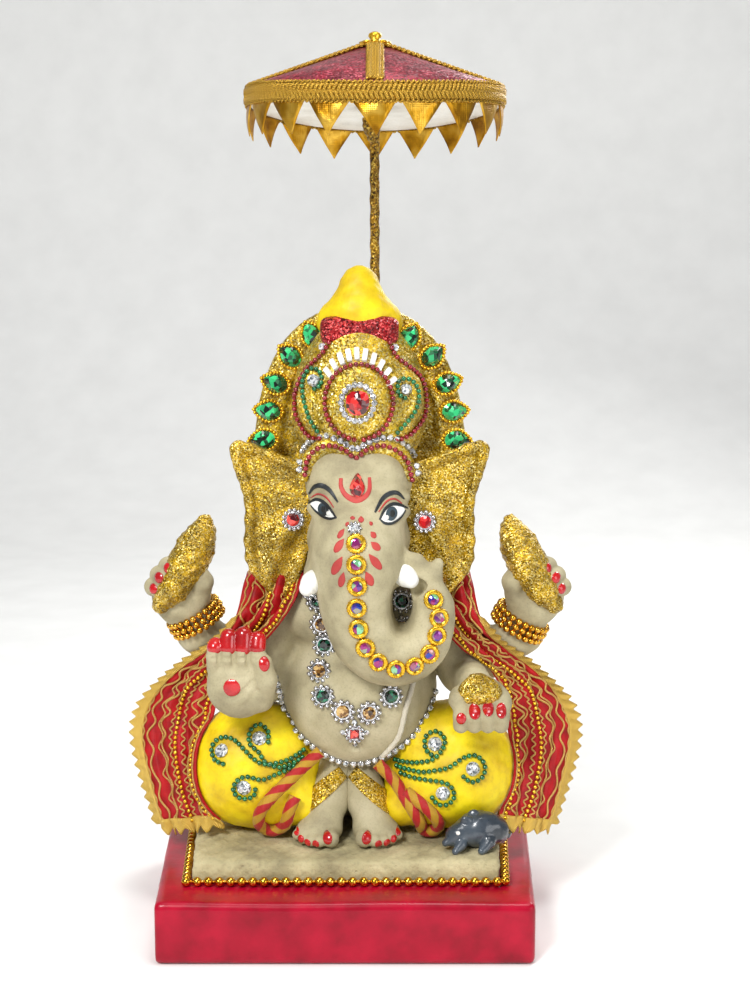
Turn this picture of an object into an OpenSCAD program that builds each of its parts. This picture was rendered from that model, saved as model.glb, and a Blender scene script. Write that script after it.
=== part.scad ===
// Seated clay elephant-headed idol on a painted base, with stick-on
// ornaments, a draped shawl and a lift-off umbrella that turns on its pole.
// Millimetres. +Z is up, -Y is the front, and the origin is the centre of
// the base's underside. Left and right are the figure's own.

/* [Base] */
// Width of the painted base at its front
base_w = 165; // [150:1:200]
// Extra width of the base and the plinth at the back
base_flare = 12; // [0:1:20]
// Depth of the painted base
base_d = 130; // [120:1:160]
// Height of the painted base
base_h = 28; // [20:1:40]
// Chamfer along the base's top edges
base_chamfer = 4; // [1:0.5:6]
// Width of the clay plinth at its front
plinth_w = 136; // [130:1:145]
// Depth of the clay plinth
plinth_d = 98; // [94:1:106]
// Height of the clay plinth
plinth_h = 10; // [8:1:16]
// Diameter of the gilt balls laid around the plinth
base_ball_d = 4.4; // [3:0.1:5]

/* [Figure] */
// Width of the belly
belly_w = 74; // [66:1:80]
// Height of the belly
belly_h = 76; // [68:1:84]
// Depth of the belly
belly_d = 52; // [46:1:58]
// Width across the chest
chest_w = 84; // [76:1:90]
// Width of one folded thigh
thigh_w = 62; // [56:1:66]
// Height of one folded thigh
thigh_h = 60; // [54:1:66]
// Width of the head
head_w = 50; // [44:1:56]
// Height of the head
head_h = 68; // [62:1:74]
// Thickness of an ear
ear_t = 5; // [4:0.5:7]
// Thickness of the trunk at its thickest
trunk_d = 35; // [30:1:38]

/* [Crown] */
// Width of the crown's bowl
crown_w = 62; // [58:1:68]
// Height of the crown's bowl
crown_h = 76; // [70:1:84]
// Thickness of the halo plate behind the crown
halo_t = 7; // [5:0.5:9]
// Height of the peak above the crown's band
peak_h = 21; // [16:1:28]

/* [Ornaments] */
// Diameter of the small red and green beads
bead_d = 2.2; // [1.6:0.1:2.6]
// Diameter of the clear rhinestones
stone_d = 2.8; // [2.2:0.1:3.2]
// Diameter of the mirror settings down the trunk
disc_d = 8; // [6:0.5:9]
// Diameter of a necklace flower
flower_d = 8.4; // [7:0.2:9.4]
// Length of a leaf-shaped crown stone with its frame
leaf_l = 14; // [11:0.5:15]
// Diameter of the gilt bracelet balls
bracelet_ball_d = 3.6; // [2.8:0.1:4]
// Diameter of the twisted hem rope
rope_d = 5; // [4:0.2:6]

/* [Shawl] */
// Thickness of the folded shawl
shawl_t = 2; // [1.5:0.1:3]
// Width of the gilt lace beyond the shawl's edge
lace_w = 7; // [5:0.5:9]

/* [Umbrella] */
// Diameter of the wrapped pole
pole_d = 4.6; // [4:0.1:6]
// Depth of the pole's hole, from the plinth's top
socket_depth = 24; // [16:1:30]
// Radial clearance of the pole in its hole and in the canopy
pole_gap = 0.1; // [0.05:0.01:0.1]
// Height of the canopy's rim above the figure's seat
canopy_lift = 333; // [300:1:360]
// Diameter of the canopy
canopy_d = 122; // [100:1:140]
// Height of the canopy's cone
canopy_h = 20; // [14:1:40]
// Thickness of the canopy's card
card_t = 1.2; // [0.8:0.1:2]
// Number of foil pennants
pennant_count = 18; // [12:1:24]
// Height of a pennant
pennant_h = 15; // [10:1:20]

/* [Hidden] */
$fn = 32;
body_fn = 26;       // facets around a large clay form
limb_fn = 14;       // facets around a limb or a finger
gap = 0.15;         // clearance under a glued ornament
far = 400;          // larger than the object, for cutting away half of space

plinth_z = base_h + plinth_h;
lean = 6;           // the head and crown stand this far to the figure's left
plinth_back = 56;   // the plinth's back edge
plinth_front = plinth_back - plinth_d;

// Ellipsoids: [centre, radii]
belly = [[5, 14, plinth_z + 65], [belly_w / 2, belly_d / 2, belly_h / 2]];
chest = [[lean, 16, belly[0][2] + 42], [chest_w / 2, 19, 22]];
hips = [[3, 20, plinth_z + 20], [36, 16, 20]];
thigh = [[45, 8, plinth_z + thigh_h / 2], [thigh_w / 2, 25, thigh_h / 2]];
head_e = [[lean, 7, chest[0][2] + 45], [head_w / 2, 25, head_h / 2]];
crown_e = [[lean, 13, head_e[0][2] + 47], [crown_w / 2, 24, crown_h / 2]];
halo_y = 17;        // the halo's front face
ear_y = -3;         // the ears' front faces
pole_pos = [13, 42];
band_z = crown_e[0][2] + 30;
band_h = 11;
band_r = 16;
rim_z = plinth_z + canopy_lift;
rim_h = 9;
canopy_r = canopy_d / 2;
rib_w = 6;          // a braid rib on the canopy
rib_start = 8.5;    // from the canopy's tip to a rib's upper end

// A point of an ellipsoid's front from unit coordinates, moved out by off
function front_point(e, u, v) =
    [e[0][0] + u * e[1][0],
     e[0][1] - e[1][1] * sqrt(max(0.03, 1 - u * u - v * v)),
     e[0][2] + v * e[1][2]];
function outward(e, p) =
    let (n = [for (i = [0:2]) (p[i] - e[0][i]) / pow(e[1][i], 2)]) n / norm(n);
function on_front(e, u, v, off) =
    let (p = front_point(e, u, v)) p + off * outward(e, p);
function path_on(e, uv, off) = [for (q = uv) on_front(e, q[0], q[1], off)];
function mirrored(uv) = [for (q = uv) [-q[0], q[1]]];

// A smooth curve through points, with steps points for each span
function spline_at(a, b, c, d, t) =
    0.5 * (2 * b + (c - a) * t + (2 * a - 5 * b + 4 * c - d) * t * t
        + (3 * b - a - 3 * c + d) * t * t * t);
function smooth(p, steps) =
    let (n = len(p) - 1)
    concat([for (i = [0:n - 1]) for (k = [0:steps - 1])
        spline_at(p[max(i - 1, 0)], p[i], p[i + 1], p[min(i + 2, n)], k / steps)],
        [p[n]]);

// Points at a fixed pitch along a curve
function lengths(p, i = 0, sum = 0) =
    i >= len(p) - 1 ? [sum]
        : concat([sum], lengths(p, i + 1, sum + norm(p[i + 1] - p[i])));
function at_length(p, l, s, i = 0) =
    i >= len(p) - 2 || s < l[i + 1]
        ? p[i] + (p[i + 1] - p[i]) * min(1, (s - l[i]) / max(1e-6, l[i + 1] - l[i]))
        : at_length(p, l, s, i + 1);
function spaced(p, pitch) =
    let (l = lengths(p), total = l[len(l) - 1], n = floor(total / pitch))
    [for (i = [0:n]) at_length(p, l, i * total / n)];

// Turns +Z to a direction
module facing(dir) {
    rotate([0, acos(dir[2] / norm(dir)), atan2(dir[1], dir[0])]) children();
}

module bead_row(path, d, pitch) {
    for (p = spaced(path, pitch)) translate(p) sphere(d = d);
}

// One faceted skin for joined clay
module modelled() { resize([0, 0, 0]) children(); }

module ellipsoid(e, fn = body_fn) {
    translate(e[0]) scale(e[1]) sphere(1, $fn = fn);
}

// Spheres [x, y, z, r] hulled in turn
module limb(balls, fn = limb_fn) {
    for (i = [0:len(balls) - 2]) hull() for (b = [balls[i], balls[i + 1]])
        translate([b[0], b[1], b[2]]) sphere(b[3], $fn = fn);
}

// A closed tube of even thickness along a curve
module tube(path, r, sides = 8) {
    n = len(path);
    rings = [for (i = [0:n - 1])
        let (t = path[min(i + 1, n - 1)] - path[max(i - 1, 0)],
             a = cross(t, [0, 1, 0.01]), u = a / norm(a),
             b = cross(t, u), w = b / norm(b))
        for (k = [0:sides - 1])
            path[i] + r * (cos(360 * k / sides) * u + sin(360 * k / sides) * w)];
    sides_f = [for (i = [0:n - 2]) for (k = [0:sides - 1])
        let (m = (k + 1) % sides)
        [i * sides + k, i * sides + m, (i + 1) * sides + m, (i + 1) * sides + k]];
    ends = [[for (k = [0:sides - 1]) sides - 1 - k],
            [for (k = [0:sides - 1]) (n - 1) * sides + k]];
    polyhedron(rings, concat(sides_f, ends), convexity = 8);
}

// ---------------------------------------------------------------- base
function flared(w, front, back) =
    [[-w / 2, front], [w / 2, front],
     [w / 2 + base_flare / 2, back], [-w / 2 - base_flare / 2, back]];

module base_block() {
    c = base_chamfer;
    color("crimson") difference() {
        hull() {
            linear_extrude(base_h - c) polygon(flared(base_w, -base_d / 2, base_d / 2));
            linear_extrude(base_h) polygon(flared(base_w - 2 * c, c - base_d / 2, base_d / 2 - c));
        }
        pole_hole();
    }
}

module pole_hole() {
    translate([pole_pos[0], pole_pos[1], plinth_z - socket_depth])
        cylinder(h = socket_depth + 1, r = pole_d / 2 + pole_gap);
}

module clay_plinth() {
    color("tan") difference() {
        translate([0, 0, base_h]) linear_extrude(plinth_h)
            polygon(flared(plinth_w, plinth_front, plinth_back));
        translate([0, plinth_front, plinth_z]) rotate([45, 0, 0])
            cube([far, plinth_h / 2, plinth_h / 2], center = true);
        pole_hole();
    }
}

module base_ball_chain() {
    off = base_ball_d / 2 + 0.4;
    z = base_h + base_ball_d / 2 + 0.02;
    p = flared(plinth_w + 2 * off, plinth_front - off, plinth_back + off);
    color("gold") for (i = [0:3])
        for (q = spaced([p[i], p[(i + 1) % 4]], base_ball_d + 0.5))
            if (norm(q - p[(i + 1) % 4]) > 0.1) translate([q[0], q[1], z]) sphere(d = base_ball_d);
}

// -------------------------------------------------------------- figure
module torso_shape() {
    hull() ellipsoid(belly);
    hull() ellipsoid(chest, 22);
    hull() ellipsoid(hips, 18);
    hull() translate([lean, 14, chest[0][2]]) cylinder(h = 26, r1 = 22, r2 = 14, $fn = 16);
}
module above_plinth() {
    intersection() {
        children();
        translate([-far / 2, -far / 2, plinth_z]) cube(far);
    }
}
module torso() { color("tan") modelled() above_plinth() torso_shape(); }

module thigh_shape(side) { hull() ellipsoid(thigh_of(side)); }
function thigh_of(side) =
    [[side * thigh[0][0] + 3, thigh[0][1], thigh[0][2]], thigh[1]];
module clothed_thigh(side) {
    color("gold") modelled() difference() {
        above_plinth() thigh_shape(side);
        torso_shape();
    }
}
module right_thigh() clothed_thigh(-1);
module left_thigh() clothed_thigh(1);

foot_x = 13;        // from the middle of the feet to each foot
feet_mid = 3;
module foot_shape(side) {
    x = feet_mid + side * foot_x;
    z = plinth_z;
    limb([[x - side * 8, 4, z + 30, 8], [x - side * 5, -6, z + 17, 9],
          [x, -10, z + 8.5, 8.5]]);
    for (i = [0:4]) let (tx = x + side * (i - 2) * 4.4 - side * 1)
        limb([[x, -10, z + 6, 6], [tx, -19 + abs(i - 1) * 1.2, z + 3, 3 - i * 0.1]], 10);
}
module foot(side) {
    color("tan") modelled() difference() {
        above_plinth() foot_shape(side);
        thigh_shape(-1);
        thigh_shape(1);
        torso_shape();
        translate([feet_mid - side * (far / 2 - 0.1) - far / 2, -far / 2, -far / 2]) cube(far);
    }
}
module right_foot() foot(-1);
module left_foot() foot(1);

shoulder_z = chest[0][2] + 5;
module arm_shape(side) {
    if (side < 0)
        limb([[-29, 12, shoulder_z, 12], [-39, 8, shoulder_z - 42, 10],
              [-47, -15, shoulder_z - 41, 7.5]]);
    else
        limb([[41, 12, shoulder_z, 12], [54, 8, shoulder_z - 38, 10],
              [58, -12, shoulder_z - 38, 8]]);
}
module arm(side) {
    color("tan") modelled() difference() {
        arm_shape(side);
        torso_shape();
        thigh_shape(side);
    }
}
module right_arm() arm(-1);
module left_arm() arm(1);

hand_z = shoulder_z - 38;
module blessing_hand_shape() {
    limb([[-52, -24, hand_z - 2, 7], [-44, -24, hand_z - 2, 7], [-42, -24, hand_z + 6, 6],
          [-54, -24, hand_z + 6, 6], [-52, -24, hand_z - 2, 7]]);
    for (i = [0:3]) let (x = -57 + i * 6.4)
        limb([[x, -25, hand_z + 9, 3.6], [x - 0.5, -24, hand_z + 19 + (i == 0 ? -4 : i == 3 ? -1 : 1), 3.4]], 10);
    limb([[-40, -25, hand_z - 2, 4.5], [-34, -27, hand_z + 8, 3.6]], 10);
}
module blessing_hand() {
    color("tan") modelled() difference() {
        blessing_hand_shape();
        arm_shape(-1);
        thigh_shape(-1);
    }
}

module offering_hand_shape() {
    z = hand_z - 9;
    limb([[54, -20, z + 4, 7.5], [66, -20, z + 3, 7.5]]);
    for (i = [0:3]) let (x = 52 + i * 6.2)
        limb([[x, -24, z + 3, 3.8], [x + 1, -31, z - 4, 3.6]], 10);
    limb([[50, -20, z + 6, 4.2], [48, -28, z + 8, 3.4]], 10);
}
module offering_hand() {
    color("tan") modelled() difference() {
        offering_hand_shape();
        arm_shape(1);
        thigh_shape(1);
    }
}

rear_wrist = [76, 20, shoulder_z - 22];
module rear_arm_shape(side) {
    w = rear_wrist;
    limb([for (b = [[38, 24, shoulder_z - 14, 11], [60, 25, shoulder_z - 34, 10.5],
        [w[0], w[1], w[2], 9.5], [w[0] + 4, w[1] - 2, w[2] + 12, 10]])
        [lean + side * b[0], b[1], b[2], b[3]]]);
    for (i = [0:3])
        limb([for (b = [[82 - i * 5, 15, w[2] + 16 + i, 5], [88 - i * 4, 9, w[2] + 24 + i * 2, 3.6]])
            [lean + side * b[0], b[1], b[2], b[3]]], 10);
}
module rear_arm(side) {
    color("tan") modelled() difference() {
        rear_arm_shape(side);
        torso_shape();
        arm_shape(side);
        thigh_shape(side);
    }
}
module right_rear_arm() rear_arm(-1);
module left_rear_arm() rear_arm(1);

module conch(side) {
    w = rear_wrist;
    color("gold") modelled() difference() {
        limb([for (b = [[79, 16, w[2] + 18, 8], [74, 15, w[2] + 31, 8.5], [67, 15, w[2] + 40, 5],
            [61, 15, w[2] + 47, 2.5]]) [lean + side * b[0], b[1], b[2], b[3]]], 16);
        rear_arm_shape(side);
    }
}
module right_conch() conch(-1);
module left_conch() conch(1);

module modak() {
    color("gold") modelled() difference() {
        translate([59, -25, hand_z - 2]) hull() {
            sphere(7, $fn = 20);
            translate([0, 1, 8]) sphere(1.5, $fn = 12);
        }
        offering_hand_shape();
        arm_shape(1);
    }
}

module mouse() {
    z = plinth_z;
    color("slategray") modelled() difference() {
        above_plinth() {
            limb([[68, -20, z + 6, 6.5], [60, -22, z + 5.5, 7], [50, -25, z + 4, 4], [46, -26, z + 3, 2]]);
            for (dx = [0, 3]) hull() translate([54 + dx, -26 + dx * 2, z + 10]) sphere(2.4, $fn = 12);
            limb([[74, -16, z + 3, 1.2], [77, -2, z + 1.4, 1.2]], 10);
            for (x = [50, 64]) limb([[x, -28, z + 1.6, 2], [x - 2, -31, z + 1.2, 1.4]], 10);
        }
        thigh_shape(1);
    }
}

// ---------------------------------------------------------------- head
module head_shape() { hull() ellipsoid(head_e); }
module head() {
    color("tan") modelled() difference() { head_shape(); torso_shape(); }
}

// Trunk stations: offsets from the head's centre, and a share of trunk_d
TRUNK = [[-1, -13, -2, 0.74], [-1, -20, -16, 0.9], [-1, -24, -30, 1], [0, -26, -44, 0.88],
    [5, -27, -58, 0.72], [15, -27, -66, 0.6], [26, -26, -64, 0.52], [34, -25, -54, 0.46],
    [36, -24, -42, 0.42], [33, -24, -32, 0.38], [26, -24, -27, 0.36]];
function trunk_path() = [for (s = TRUNK) head_e[0] + [s[0], s[1], s[2]]];
function trunk_r() = [for (s = TRUNK) s[3] * trunk_d / 2];
module trunk_shape() {
    p = trunk_path();
    r = trunk_r();
    limb([for (i = [0:len(p) - 1]) [p[i][0], p[i][1], p[i][2], r[i]]], 18);
}
module trunk() {
    color("tan") modelled() difference() {
        trunk_shape();
        head_shape();
        torso_shape();
        on_trunk(-0.05) cylinder(h = 4, d = disc_d * 1.03, $fn = 16);   // flats for the discs
    }
}

module tusks() {
    c = head_e[0];
    color("white") modelled() difference() {
        for (side = [-1, 1])
            limb([[c[0] + side * 17, c[1] - 14, c[2] - 26, 4.6],
                  [c[0] + side * 22, c[1] - 26, c[2] - 31 + (side + 1), 3.6]], 16);
        head_shape();
        trunk_shape();
        torso_shape();
    }
}

// Half outline of an ear, from the head outwards, about the head's centre
EAR = [[14, 12], [22, 20], [34, 27], [56, 30], [55, 20], [50, 4], [50, -22],
    [42, -34], [36, -39], [31, -34], [26, -22], [14, -14]];
module ear(side) {
    color("gold") modelled() difference() {
        translate([head_e[0][0], ear_y + ear_t, head_e[0][2]]) rotate([90, 0, 0])
            linear_extrude(ear_t) polygon([for (q = EAR) [side * q[0], q[1]]]);
        head_shape();
        torso_shape();
        trunk_shape();
        arm_shape(side);
    }
}
module right_ear() ear(-1);
module left_ear() ear(1);

// --------------------------------------------------------------- crown
// Half outline of the halo about the crown's centre
HALO = [[0, 46], [16, 43], [27, 37], [38, 26], [46, 8], [50, -10], [50, -26], [30, -32], [0, -32]];
module halo() {
    outline = concat(HALO, [for (i = [len(HALO) - 2:-1:1]) [-HALO[i][0], HALO[i][1]]]);
    color("gold") modelled() difference() {
        translate([crown_e[0][0], halo_y + halo_t, crown_e[0][2]]) rotate([90, 0, 0])
            linear_extrude(halo_t) polygon(outline);
        head_shape();
    }
}

module crown_shape() {
    intersection() {
        hull() ellipsoid(crown_e, 32);
        translate([-far / 2, halo_y - far, 0]) cube([far, far, band_z]);
    }
}
module crown() {
    color("gold") modelled() difference() {
        crown_shape();
        head_shape();
        on_leaves(0) leaf(leaf_l, 5);
        for (side = [-1, 1]) translate([0, ear_y - 0.5, head_e[0][2]]) rotate([90, 0, 0])
            mirror([0, 0, 1]) linear_extrude(ear_t + 1)
            polygon([for (q = EAR) [head_e[0][0] + side * q[0], q[1] + (q[1] > 0 ? 1 : 0)]]);
    }
}

// The band and the peak are half rounds that stand against the halo
module against_halo() {
    intersection() {
        translate([crown_e[0][0], halo_y - 4, 0]) children();
        translate([-far / 2, halo_y - far, 0]) cube(far);
    }
}
module crown_band() {
    color("darkred") against_halo() translate([0, 0, band_z]) rotate_extrude()
        polygon([[0, 0], [band_r - 2, 0], [band_r, band_h / 2], [band_r - 2, band_h], [0, band_h]]);
}
module crown_peak() {
    color("yellow") against_halo() translate([0, 0, band_z + band_h]) rotate_extrude()
        polygon([[0, 0], [band_r - 2, 0], [band_r - 3, peak_h * 0.35], [7, peak_h * 0.8],
            [4, peak_h - 1], [0, peak_h]]);
}

gem_v = 0.09;       // the gem's height on the crown, in unit coordinates
module crown_gem() {
    p = on_front(crown_e, 0, gem_v, gap);
    color("red") translate(p) facing(outward(crown_e, p)) union() {
        cylinder(h = 1.4, r = 5);
        translate([0, 0, 1.4]) cylinder(h = 2, r1 = 5, r2 = 3);
    }
}
function oval(ru, rv, from, to, n) =
    [for (i = [0:n]) let (a = from + (to - from) * i / n) [ru * cos(a), gem_v + rv * sin(a)]];
module crown_gem_ring() {
    off = stone_d / 2 + gap;
    color("white") bead_row(path_on(crown_e, oval(0.28, 0.24, 0, 340, 24), off), stone_d, stone_d + 0.25);
}
module crown_fan_stones() {
    color("white") for (q = oval(0.6, 0.6, 35, 145, 8)) {
        p = on_front(crown_e, q[0], q[1], gap);
        translate(p) facing(outward(crown_e, p)) cylinder(h = 1.6, r = 1.9);
    }
}
module crown_oval_beads() {
    color("darkred")
        bead_row(path_on(crown_e, oval(0.46, 0.38, 0, 355, 40), bead_d / 2 + gap), bead_d, bead_d + 0.2);
}
OUTLINE = [[-0.54, -0.25], [-0.78, -0.18], [-0.88, 0.02], [-0.86, 0.22], [-0.76, 0.42],
    [-0.56, 0.60], [-0.38, 0.70]];
module crown_outline_beads() {
    color("darkred") for (uv = [OUTLINE, mirrored(OUTLINE)])
        bead_row(smooth(path_on(crown_e, uv, bead_d / 2 + gap), 6), bead_d, bead_d + 0.2);
}
GREEN = [[-0.58, -0.16], [-0.70, -0.04], [-0.75, 0.1], [-0.72, 0.26], [-0.64, 0.38]];
module crown_green_beads() {
    color("green") for (uv = [GREEN, mirrored(GREEN)])
        bead_row(smooth(path_on(crown_e, uv, bead_d / 2 + gap), 6), bead_d, bead_d + 0.2);
}

// Leaf stones: place about the crown's centre and the tip's direction
LEAVES = [[22, 31, 50], [32, 21, 35], [38.5, 8.5, 18], [42, -4.5, 6], [43.5, -18.5, -2]];
module leaf(l, t = 0) {
    linear_extrude(max(t, l / 8)) hull() {
        circle(l * 0.3, $fn = 20);
        translate([l * 0.58, 0]) circle(0.4, $fn = 8);
    }
}
module on_leaves(rise) {
    for (side = [-1, 1]) for (q = LEAVES)
        translate([crown_e[0][0] + side * q[0], halo_y - 0.02 - rise, crown_e[0][2] + q[1]])
            rotate([90, 0, 0]) rotate(side > 0 ? q[2] : 180 - q[2]) translate([-leaf_l * 0.14, 0, 0]) children();
}
module leaf_frames() { color("gold") on_leaves(0) leaf(leaf_l); }
module leaf_gems() { color("darkgreen") on_leaves(leaf_l / 8 + 0.02) leaf(leaf_l * 0.68); }

HAIRLINE = [[-0.70, -0.58], [-0.60, -0.42], [-0.34, -0.32], [0, -0.40], [0.34, -0.32],
    [0.60, -0.42], [0.70, -0.58]];
function lowered(uv, dv) = [for (q = uv) [q[0] * 0.91, q[1] - dv]];
module hairline_stones() {
    color("white") bead_row(smooth(path_on(crown_e, HAIRLINE, stone_d / 2 + gap), 5), stone_d, stone_d + 0.3);
}
module hairline_beads() {
    color("darkred") bead_row(smooth(path_on(crown_e, lowered(HAIRLINE, 0.085), bead_d / 2 + 0.6), 5),
        bead_d, bead_d + 0.3);
}
module forehead_gem() {
    p = on_front(head_e, 0, 0.42, gap);
    color("red") translate(p) facing(outward(head_e, p)) rotate(180) leaf(11);
}

// ----------------------------------------------------- face and trunk
EAR_STUD = [30, -4];
module at_ear_studs() {
    for (side = [-1, 1]) translate([head_e[0][0] + side * EAR_STUD[0], ear_y - 0.02, head_e[0][2] + EAR_STUD[1]])
        rotate([90, 0, 0]) children();
}
module ear_studs() { color("lightgray") at_ear_studs() cylinder(h = 1.5, d = 10.5); }
module ear_stud_gems() { color("darkred") at_ear_studs() translate([0, 0, 1.52]) cylinder(h = 1.5, d = 5.4); }

module on_trunk(rise) {
    p = trunk_path();
    r = trunk_r();
    face = [for (i = [0:len(p) - 1]) [p[i][0], p[i][1] - r[i] - 0.6 - rise, p[i][2]]];
    path = smooth([for (i = [1:len(face) - 1]) face[i]], 6);
    for (q = spaced(path, disc_d + 0.7)) translate(q) rotate([90, 0, 0]) children();
}
module trunk_settings() { color("gold") on_trunk(0) cylinder(h = 1.4, d = disc_d); }
module trunk_mirrors() { color("plum") on_trunk(1.42) cylinder(h = 0.8, d = disc_d * 0.62); }

// ----------------------------------------------------- necklace, waist
// Places on the chest and belly: [x, z] about the belly's centre
NECKLACE = [[-23, 46], [-21, 35], [-19, 24], [-18, 13], [-14, 3], [-6, -5],
    [6, -5], [15, 3], [19, 13], [20, 24], [20, 35]];
function strand_point(q) =
    let (u = q[0] / belly[1][0], v = min(q[1], 14) / belly[1][2], f = front_point(belly, u, v),
         c = front_point(chest, (belly[0][0] + q[0] - chest[0][0]) / chest[1][0],
            (belly[0][2] + q[1] - chest[0][2]) / chest[1][2]))
    [belly[0][0] + q[0], min(f[1], c[1]) - gap - 0.6, belly[0][2] + q[1]];
module necklace_places(rise) {
    for (q = NECKLACE) translate(strand_point(q) - [0, rise + (q[1] > 14 ? 0 : 1.4), 0])
        rotate([90, 0, 0]) children();
}
module necklace_flowers() { color("silver") necklace_places(0) cylinder(h = 1.6, d = flower_d); }
module necklace_gems() { color("seagreen") necklace_places(1.62) cylinder(h = 1.2, d = flower_d * 0.55); }
module necklace_pendant() {
    q = strand_point([0, -14]);
    color("red") translate(q - [0, 1.6, 0]) rotate([90, 0, 0]) rotate(45)
        translate([-4, -4, 0]) cube([8, 8, 2.4]);
}

// Around the belly: a point at azimuth a from the front and height v
function round_belly(a, v, off) =
    let (k = sqrt(1 - v * v), p = belly[0] + [belly[1][0] * k * sin(a), -belly[1][1] * k * cos(a), belly[1][2] * v])
    p + off * outward(belly, p);
// The chain's azimuth and height, clear of the thighs and feet
WAIST = [[-64, -0.12], [-56, -0.19], [-48, -0.32], [-40, -0.47], [-32, -0.59], [-24, -0.67], [-12, -0.72],
    [0, -0.735], [12, -0.71], [22, -0.64], [32, -0.50], [40, -0.36], [48, -0.24], [56, -0.15], [64, -0.09]];
module waist_chain() {
    path = [for (q = WAIST) round_belly(q[0], q[1], stone_d / 2 + gap)];
    color("silver") bead_row(smooth(path, 4), stone_d, stone_d + 0.35);
}
module sacred_thread() {
    path = [for (v = [0.2:-0.1:-0.66]) round_belly(36 + 10 * v - 30 * v * v, v, 0.9 + gap)];
    color("ivory") modelled() difference() {
        tube(path, 0.8);
        arm_shape(1);
        thigh_shape(1);
    }
}

// ----------------------------------------------------- wrists and dhoti
module bracelets(side) {
    w = [lean + side * rear_wrist[0], rear_wrist[1], rear_wrist[2]];
    elbow = [lean + side * 60, 25, shoulder_z - 34];
    dir = w - elbow;
    r = 10.5 + bracelet_ball_d / 2 + gap;
    n = floor(2 * PI * r / (bracelet_ball_d + 0.3));
    color("gold") for (row = [0, 1])
        translate(elbow + dir * (0.62 + 0.2 * row)) facing(dir) for (i = [0:n - 1])
            rotate(360 * (i + row / 2) / n) translate([r, 0, 0]) sphere(d = bracelet_ball_d);
}
module bracelet_room(side) {
    w = [lean + side * rear_wrist[0], rear_wrist[1], rear_wrist[2]];
    elbow = [lean + side * 60, 25, shoulder_z - 34];
    translate(elbow + (w - elbow) * 0.5) facing(w - elbow)
        cylinder(h = norm(w - elbow) * 0.45, r = 10.9 + bracelet_ball_d + gap);
}
module right_bracelets() bracelets(-1);
module left_bracelets() bracelets(1);

// Bead curls on a thigh, in unit coordinates, for the figure's left
SCROLLS = [
    [[-0.52, 0.24], [-0.36, 0.22], [-0.2, 0.26], [-0.08, 0.36], [-0.08, 0.5], [-0.18, 0.58]],
    [[-0.5, 0.08], [-0.3, 0.04], [-0.1, 0.08], [0.1, 0.16], [0.3, 0.3], [0.46, 0.32]],
    [[-0.46, -0.08], [-0.26, -0.14], [-0.04, -0.14], [0.12, -0.2], [0.14, -0.36], [0.04, -0.44]]];
module dhoti_bead_scrolls() {
    color("green") for (side = [-1, 1]) for (uv = SCROLLS)
        bead_row(smooth(path_on(thigh_of(side), [for (q = uv) [side * q[0], q[1]]], bead_d / 2 + gap), 5),
            bead_d, bead_d + 0.2);
}
THIGH_STONES = [[-0.32, 0.48], [0.42, 0.1], [-0.1, -0.34]];
module dhoti_stones() {
    color("white") for (side = [-1, 1]) for (q = THIGH_STONES) {
        e = thigh_of(side);
        p = on_front(e, side * q[0], q[1], gap);
        translate(p) facing(outward(e, p)) cylinder(h = 1.8, d = 5);
    }
}

// Hem rope on a thigh, in unit coordinates, for the figure's left
HEM = [[-0.86, 0.22], [-0.74, -0.12], [-0.5, -0.46], [-0.2, -0.78], [-0.34, -0.84], [-0.62, -0.6]];
module hem_ropes() {
    color("darkorange") for (side = [-1, 1]) modelled() difference() {
        tube(smooth(path_on(thigh_of(side), [for (q = HEM) [side * q[0], q[1]]], rope_d / 2 + gap), 4),
            rope_d / 2);
        torso_shape();
        foot_shape(-1);
        foot_shape(1);
        if (side > 0) for (x = [0:1]) hull() translate([47 + 6 * x, -26, plinth_z + 4]) sphere(5, $fn = 12);
        translate([-far / 2, -far / 2, plinth_z - far]) cube(far);
    }
}

// --------------------------------------------------------------- shawl
// Half of the cloth for the figure's right, from behind the neck to the
// hem: [inner edge, outer edge], about [0, 0, the plinth's top]
SHAWL = [
    [[6, 36, 124], [6, 38, 88]],
    [[-18, 35, 128], [-22, 38, 88]],
    [[-24, 22, 132], [-46, 30, 116]],
    [[-22, 6, 128], [-52, 8, 122]],
    [[-22, -7, 112], [-56, -4, 104]],
    [[-38, -7, 90], [-68, 8, 88]],
    [[-58, 4, 78], [-86, 12, 72]],
    [[-62, 8, 64], [-98, 15, 58]],
    [[-62, 6, 44], [-100, 14, 40]],
    [[-58, 2, 24], [-94, 10, 18]],
    [[-54, -2, 10], [-86, 6, 0]]];
function shawl_side(side) =
    [for (s = SHAWL) [for (p = s) [6 + side * (6 - p[0]), p[1], p[2] + plinth_z]]];
// Cloth between two edges, thickness t, rounded at its rims
module strip(pairs, t) {
    for (i = [0:len(pairs) - 2]) hull() for (p = [each pairs[i], each pairs[i + 1]])
        translate(p) sphere(t / 2, $fn = 6);
}
module clay_under_cloth(side) {
    torso_shape();
    head_shape();
    arm_shape(side);
    thigh_shape(side);
    rear_arm_shape(side);
    bracelet_room(side);
    necklace_places(-0.1) cylinder(h = 4, d = flower_d * 1.05, $fn = 16);
    if (side < 0) blessing_hand_shape(); else offering_hand_shape();
    translate([head_e[0][0], ear_y + ear_t, head_e[0][2]]) rotate([90, 0, 0])
        linear_extrude(ear_t) polygon([for (q = EAR) [side * q[0], q[1]]]);
    translate([-far / 2, -far / 2, plinth_z - far]) cube([far, far, far - 0.1]);
}
// The whole cloth, from the figure's right hem round the neck to the left
function shawl_pairs() =
    let (r = shawl_side(-1), l = shawl_side(1), n = len(SHAWL) - 1)
    concat([for (i = [n:-1:0]) r[i]], [for (i = [1:n]) l[i]]);
module shawl() {
    color("firebrick") modelled() difference() {
        strip(shawl_pairs(), shawl_t);
        clay_under_cloth(-1);
        clay_under_cloth(1);
    }
}
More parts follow.
